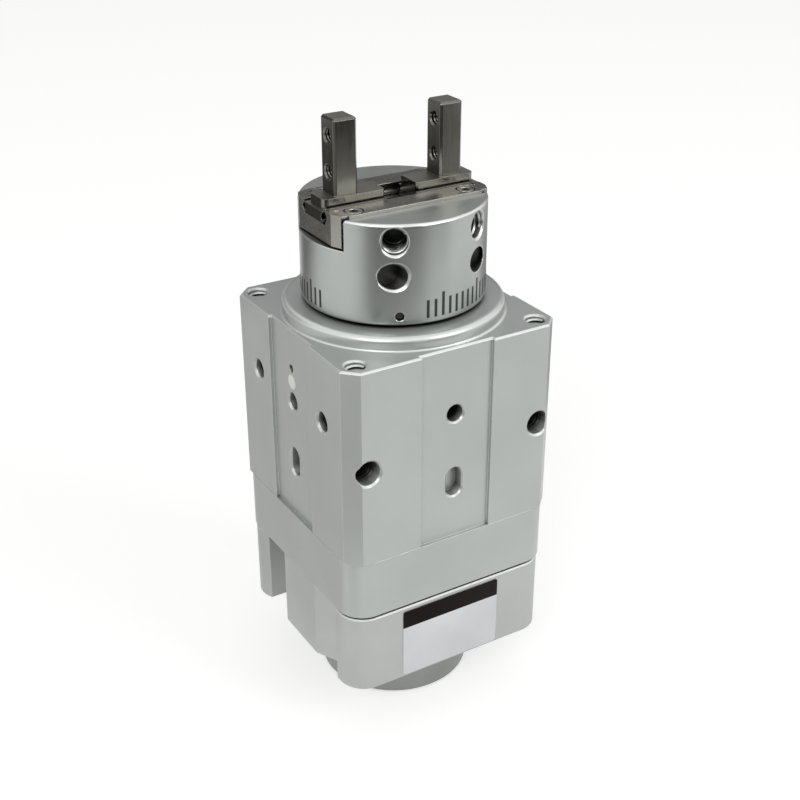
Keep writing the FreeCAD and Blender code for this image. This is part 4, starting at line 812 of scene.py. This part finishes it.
@dataclass
class RimScale:
    """The scale of lines engraved round the foot of the head.

    Attributes:
        radius: Radius of the head.
        bottom: Height at which all lines begin.
        short_top: Height at which a short line ends.
        long_top: Height at which a long line ends.
        width: Width of a line.
        sunk: How far the paint goes into the head.
        proud: How far the paint stands out of it.
        first: Angle of the first line in degrees.
        step: Angle from line to line.
        count: Number of lines.
        long_step: Angle from one long line to the next.
    """

    radius: float = 15.3
    bottom: float = 74.9
    short_top: float = 77.9
    long_top: float = 78.9
    width: float = 0.5
    sunk: float = 0.08
    proud: float = 0.02
    first: float = -100.0
    step: float = 5.0
    count: int = 59
    long_step: float = 30.0

    def line(self, top: float) -> bpy.types.Object:
        """Model one line of the scale on the +X side of the head.

        Args:
            top: Height at which the line ends.

        Returns:
            The line.
        """
        depth = self.sunk + self.proud
        start_piece()
        bpy.ops.mesh.primitive_cube_add(
            size=1.0,
            location=metres(self.radius + self.proud - depth / 2, 0, (self.bottom + top) / 2),
        )
        line = bpy.context.object
        line.scale = metres(depth, self.width, top - self.bottom)
        bpy.ops.object.transform_apply(location=True, rotation=True, scale=True)
        bpy.ops.object.mode_set(mode="EDIT")
        bpy.ops.mesh.select_all(action="SELECT")
        bpy.ops.mesh.bevel(offset=self.proud * MM, segments=1, affect="EDGES")
        bpy.ops.object.mode_set(mode="OBJECT")
        settle(line)
        return line

    def build(self) -> None:
        """Copy the lines round the rim, a longer one at each twelfth of a turn."""
        short = self.line(self.short_top)
        long = self.line(self.long_top)
        lines = []
        for index in range(self.count):
            angle = self.first + index * self.step
            model = long if angle % self.long_step == 0 else short
            copy = copy_to(model, Vector((0, 0, 0)), Vector((0, 0, 1)))
            copy.rotation_mode = "XYZ"
            copy.rotation_euler = (0, 0, math.radians(angle))
            bpy.ops.object.transform_apply(location=True, rotation=True, scale=True)
            lines.append(copy)
        bpy.data.objects.remove(short)
        bpy.data.objects.remove(long)
        scale = join_as("rim_scale", lines)
        mount_piece(scale, Body.HEAD, PAINT)


@dataclass
class TurningHead:
    """The round head, with the threads in its side.

    Attributes:
        radius: Radius of the head.
        thread_z: Height of the threaded holes.
        angles: Where the threaded holes are, in degrees round the head.
        thread: Thread of the holes.
        dimple_angle: Where the index dimple is, in degrees round the head.
        dimple_z: Height of the dimple.
        dimple_radius: Radius of the dark drop in it.
        dimple_depth: Depth of the dimple.
        dimple_fill: Thickness of the dark drop.
        dome_share: Width of the rounded edge against the radius.
        drop_sides: Sides of the dark drop.
    """

    radius: float = 15.3
    thread_z: float = 87.7
    angles: tuple[float, ...] = (-120.0, -60.0, 60.0, 120.0)
    thread: Thread = Thread(hole_radius=2.1, depth=5.2, pitch=0.8)
    dimple_angle: float = -117.0
    dimple_z: float = 75.5
    dimple_radius: float = 0.72
    dimple_depth: float = 1.2
    dimple_fill: float = 0.7
    dome_share: float = 0.3
    drop_sides: int = 32

    def shade_dimple(self) -> None:
        """Model a dark drop in the index dimple as a small domed disc, which paints the shade of the
        hole.
        """
        turn = math.radians(self.dimple_angle)
        out = Vector((math.cos(turn), math.sin(turn), 0))
        start_piece()
        bpy.ops.mesh.primitive_cylinder_add(
            vertices=self.drop_sides, radius=self.dimple_radius * MM, depth=self.dimple_fill * MM,
            location=(0, 0, self.dimple_fill * MM / 2),
        )
        drop = bpy.context.object
        bpy.ops.object.transform_apply(location=True, rotation=True, scale=True)
        dome = self.dome_share * self.dimple_radius * MM
        apply_modifier(drop, "BEVEL", width=dome, segments=3, limit_method="ANGLE")
        settle(drop)
        floor = out * (self.radius - self.dimple_depth) * MM + metres(0, 0, self.dimple_z)
        paint = copy_to(drop, floor, out)
        bpy.data.objects.remove(drop)
        rename(paint, "index_shade_drop")
        mount_piece(paint, Body.HEAD, PAINT)

    def build(self) -> None:
        """Cut the threads of the side holes and put a dark drop into the index dimple that paints its
        shade.
        """
        self.shade_dimple()
        holes = []
        for angle in self.angles:
            out = Vector((math.cos(math.radians(angle)), math.sin(math.radians(angle)), 0))
            holes.append((out * self.radius * MM + metres(0, 0, self.thread_z), out))
        threads = self.thread.cut("head_threads", holes)
        mount_piece(threads, Body.HEAD, TURNED)


@dataclass
class FingerSlide:
    """The two fingers that slide across the head."""

    hole_heights: tuple[float, ...] = (101.6, 95.9)
    outer_x: float = 11.7
    thread: Thread = Thread(
        hole_radius=1.025, depth=3.9, pitch=0.45, ridge=0.14, root=0.05, lead_in=0.3
    )

    def dress(self) -> None:
        """Leave the fingers browned from heat treatment."""
        dress_solid("left_finger", TEMPERED)
        dress_solid("right_finger", TEMPERED)

    def build(self) -> None:
        """Cut the threads of the holes in both fingers."""
        for side, body in ((-1, Body.LEFT_FINGER), (1, Body.RIGHT_FINGER)):
            out = Vector((side, 0, 0))
            holes = [(metres(side * self.outer_x, 0, z), out) for z in self.hole_heights]
            threads = self.thread.cut(body.value + "_threads", holes)
            mount_piece(threads, body, TEMPERED)


@dataclass(frozen=True)
class Lamp:
    """A soft lamp, aimed at the middle of the part.

    Attributes:
        name: Name of the lamp.
        place: Where it hangs.
        width: Width of its face.
        height: Height of its face.
        watts: Its power.
    """

    name: str
    place: Point
    width: float
    height: float
    watts: float


@dataclass(frozen=True)
class Card:
    """A grey or white card that only reflections show, set as a photographer shapes metal.

    Attributes:
        name: Name of the card.
        place: Where its middle is.
        faces: Direction that it faces.
        width: Width of the card.
        height: Height of the card.
        tone: Its colour.
        turn: Turn about Z in degrees.
    """

    name: str
    place: Point
    faces: Point
    width: float
    height: float
    tone: str
    turn: float = 0.0


@dataclass
class Studio:
    """Pale floor, soft light and the camera at the angle of the photograph."""

    floor_half: float = 2000.0
    floor_colour: str = "#dededd"
    floor_lift: float = 0.52
    room_light: float = 0.5
    aim: Point = (0.0, 0.0, 55.0)
    lamps: tuple[Lamp, ...] = (
        Lamp("key_lamp", (330.0, -600.0, 470.0), 320.0, 320.0, 1.4),
        Lamp("back_lamp", (150.0, 520.0, 700.0), 500.0, 260.0, 0.2),
        Lamp("left_lamp", (-520.0, -430.0, 520.0), 300.0, 300.0, 1.6),
    )
    cards: tuple[Card, ...] = (
        Card("back_card", (310.0, 510.0, 196.0), (-0.52, -0.85, 0.0), 1000.0, 392.0, "#3a3b3a"),
        Card("back_left_card", (-235.0, 440.0, 270.0), (0.46, -0.89, 0.0), 330.0, 380.0, "#5c5d5c"),
        Card("near_card", (-72.0, -149.0, 55.0), (0.48, 0.88, 0.0), 255.0, 100.0, "#6c6d6c"),
        Card("corner_card", (-104.0, -65.0, 3.0), (0.0, 0.0, 1.0), 90.0, 46.0, "#b0afa9", turn=29.0),
        Card("right_card", (112.0, -284.0, 65.0), (-0.74, 0.67, 0.0), 160.0, 130.0, "#444544"),
        Card("far_right_card", (172.0, 105.0, 3.0), (0.0, 0.0, 1.0), 150.0, 150.0, "#a3a4a3"),
        Card("far_left_card", (-125.0, 255.0, 4.0), (0.0, 0.0, 1.0), 210.0, 180.0, "#626362"),
        Card("left_card", (-75.0, 75.0, 2.0), (0.0, 0.0, 1.0), 90.0, 150.0, "#fdfcf8"),
    )
    camera_place: Point = (-103.3, -172.7, 156.9)
    camera_tilt: float = 62.72
    camera_turn: float = -31.21
    sensor: float = 36.0
    focal: float = 58.7
    clip_start: float = 10.0

    def build_floor(self) -> None:
        """Lay a floor that camera and reflections see as nearly white, with the shadow kept."""
        start_piece()
        bpy.ops.mesh.primitive_plane_add(size=2 * self.floor_half * MM, location=(0, 0, CAD_BOX[0].z))
        floor = bpy.context.object
        floor.name = "studio_floor"
        material, tree = new_material("matt_paper_floor")
        seen = self.seen_rays(tree)
        paper = add_node(tree, "BsdfDiffuse", {"Color": linear(self.floor_colour)})
        glow = add_node(tree, "Emission", {"Strength": self.floor_lift})
        lit = add_node(tree, "AddShader", links={0: paper.outputs[0], 1: glow.outputs[0]})
        both = add_node(tree, "MixShader", links={0: seen, 1: paper.outputs[0], 2: lit.outputs[0]})
        add_node(tree, "OutputMaterial", links={"Surface": both.outputs[0]})
        floor.data.materials.append(material)

    def seen_rays(self, tree: bpy.types.NodeTree) -> bpy.types.NodeSocket:
        """Tell rays that show the background from those that light the part.

        Args:
            tree: Node tree of the floor or the world.

        Returns:
            One for camera, glossy and transmission rays, or else zero.
        """
        path = add_node(tree, "LightPath")
        either = add_node(
            tree, "Math", links={0: path.outputs["Is Camera Ray"], 1: path.outputs["Is Glossy Ray"]},
            operation="MAXIMUM",
        )
        seen = add_node(
            tree, "Math", links={0: either.outputs[0], 1: path.outputs["Is Transmission Ray"]},
            operation="MAXIMUM",
        )
        return seen.outputs[0]

    def build_room(self) -> None:
        """Surround the part with white that lights it only softly."""
        world = bpy.data.worlds.new("white_room")
        world.use_nodes = True
        tree = world.node_tree
        tree.nodes.clear()
        level = add_node(
            tree, "MapRange", {"To Min": self.room_light, "To Max": 1.0},
            {"Value": self.seen_rays(tree)},
        )
        white = add_node(
            tree, "Background", {"Color": (1, 1, 1, 1)}, {"Strength": level.outputs["Result"]}
        )
        add_node(tree, "OutputWorld", links={"Surface": white.outputs[0]})
        bpy.context.scene.world = world

    def build_lamps(self) -> None:
        """Hang the soft lamps and point them at the part."""
        for lamp in self.lamps:
            light = bpy.data.lights.new(lamp.name, "AREA")
            light.shape = "RECTANGLE"
            light.size = lamp.width * MM
            light.size_y = lamp.height * MM
            light.energy = lamp.watts
            holder = bpy.data.objects.new(lamp.name, light)
            holder.location = metres(*lamp.place)
            ray = metres(*self.aim) - metres(*lamp.place)
            holder.rotation_euler = ray.to_track_quat("-Z", "Y").to_euler()
            bpy.context.scene.collection.objects.link(holder)

    def build_cards(self) -> None:
        """Stand or lay the cards where only reflections meet them."""
        for card in self.cards:
            start_piece()
            bpy.ops.mesh.primitive_plane_add(size=1.0, location=metres(*card.place))
            sheet = bpy.context.object
            sheet.name = card.name
            sheet.scale = (card.width * MM, card.height * MM, 1.0)
            sheet.rotation_euler = Vector(card.faces).to_track_quat("Z", "Y").to_euler()
            sheet.rotation_euler.z += math.radians(card.turn)
            material, tree = new_material(card.name + "_paper")
            paper = add_node(tree, "BsdfDiffuse", {"Color": linear(card.tone)})
            add_node(tree, "OutputMaterial", links={"Surface": paper.outputs[0]})
            sheet.data.materials.append(material)
            sheet.visible_camera = False
            sheet.visible_diffuse = False
            sheet.visible_shadow = False
            sheet.visible_transmission = False

    def build_camera(self) -> None:
        """Stand the camera where the photograph was taken from."""
        data = bpy.data.cameras.new("studio_camera")
        data.sensor_width = self.sensor
        data.lens = self.focal
        data.clip_start = self.clip_start * MM
        camera = bpy.data.objects.new("studio_camera", data)
        camera.location = metres(*self.camera_place)
        camera.rotation_euler = (math.radians(self.camera_tilt), 0, math.radians(self.camera_turn))
        bpy.context.scene.collection.objects.link(camera)
        bpy.context.scene.camera = camera

    def build(self) -> None:
        """Set the whole studio up."""
        self.build_floor()
        self.build_room()
        self.build_lamps()
        self.build_cards()
        self.build_camera()
        bpy.context.scene.view_settings.view_transform = "Standard"


def dress_solids() -> None:
    """Give every solid of the part the finish of its material slot."""
    for part in frame["record"]["subparts"]:
        PAINTBOX.put(frame["nodes"][part["node"]], FINISHES[Slot(part["material_slot"])])


def main() -> None:
    """Dress the part from the housing up and set the studio round it."""
    logging.basicConfig(level=logging.INFO)
    dress_solids()
    fingers = FingerSlide()
    housing = VaneHousing()
    for assembly in (housing, fingers):
        assembly.dress()
    for assembly in (MainBody(), housing, TurningHead(), RimScale(), fingers):
        assembly.build()
    Studio().build()


if __name__ == "__main__":
    main()
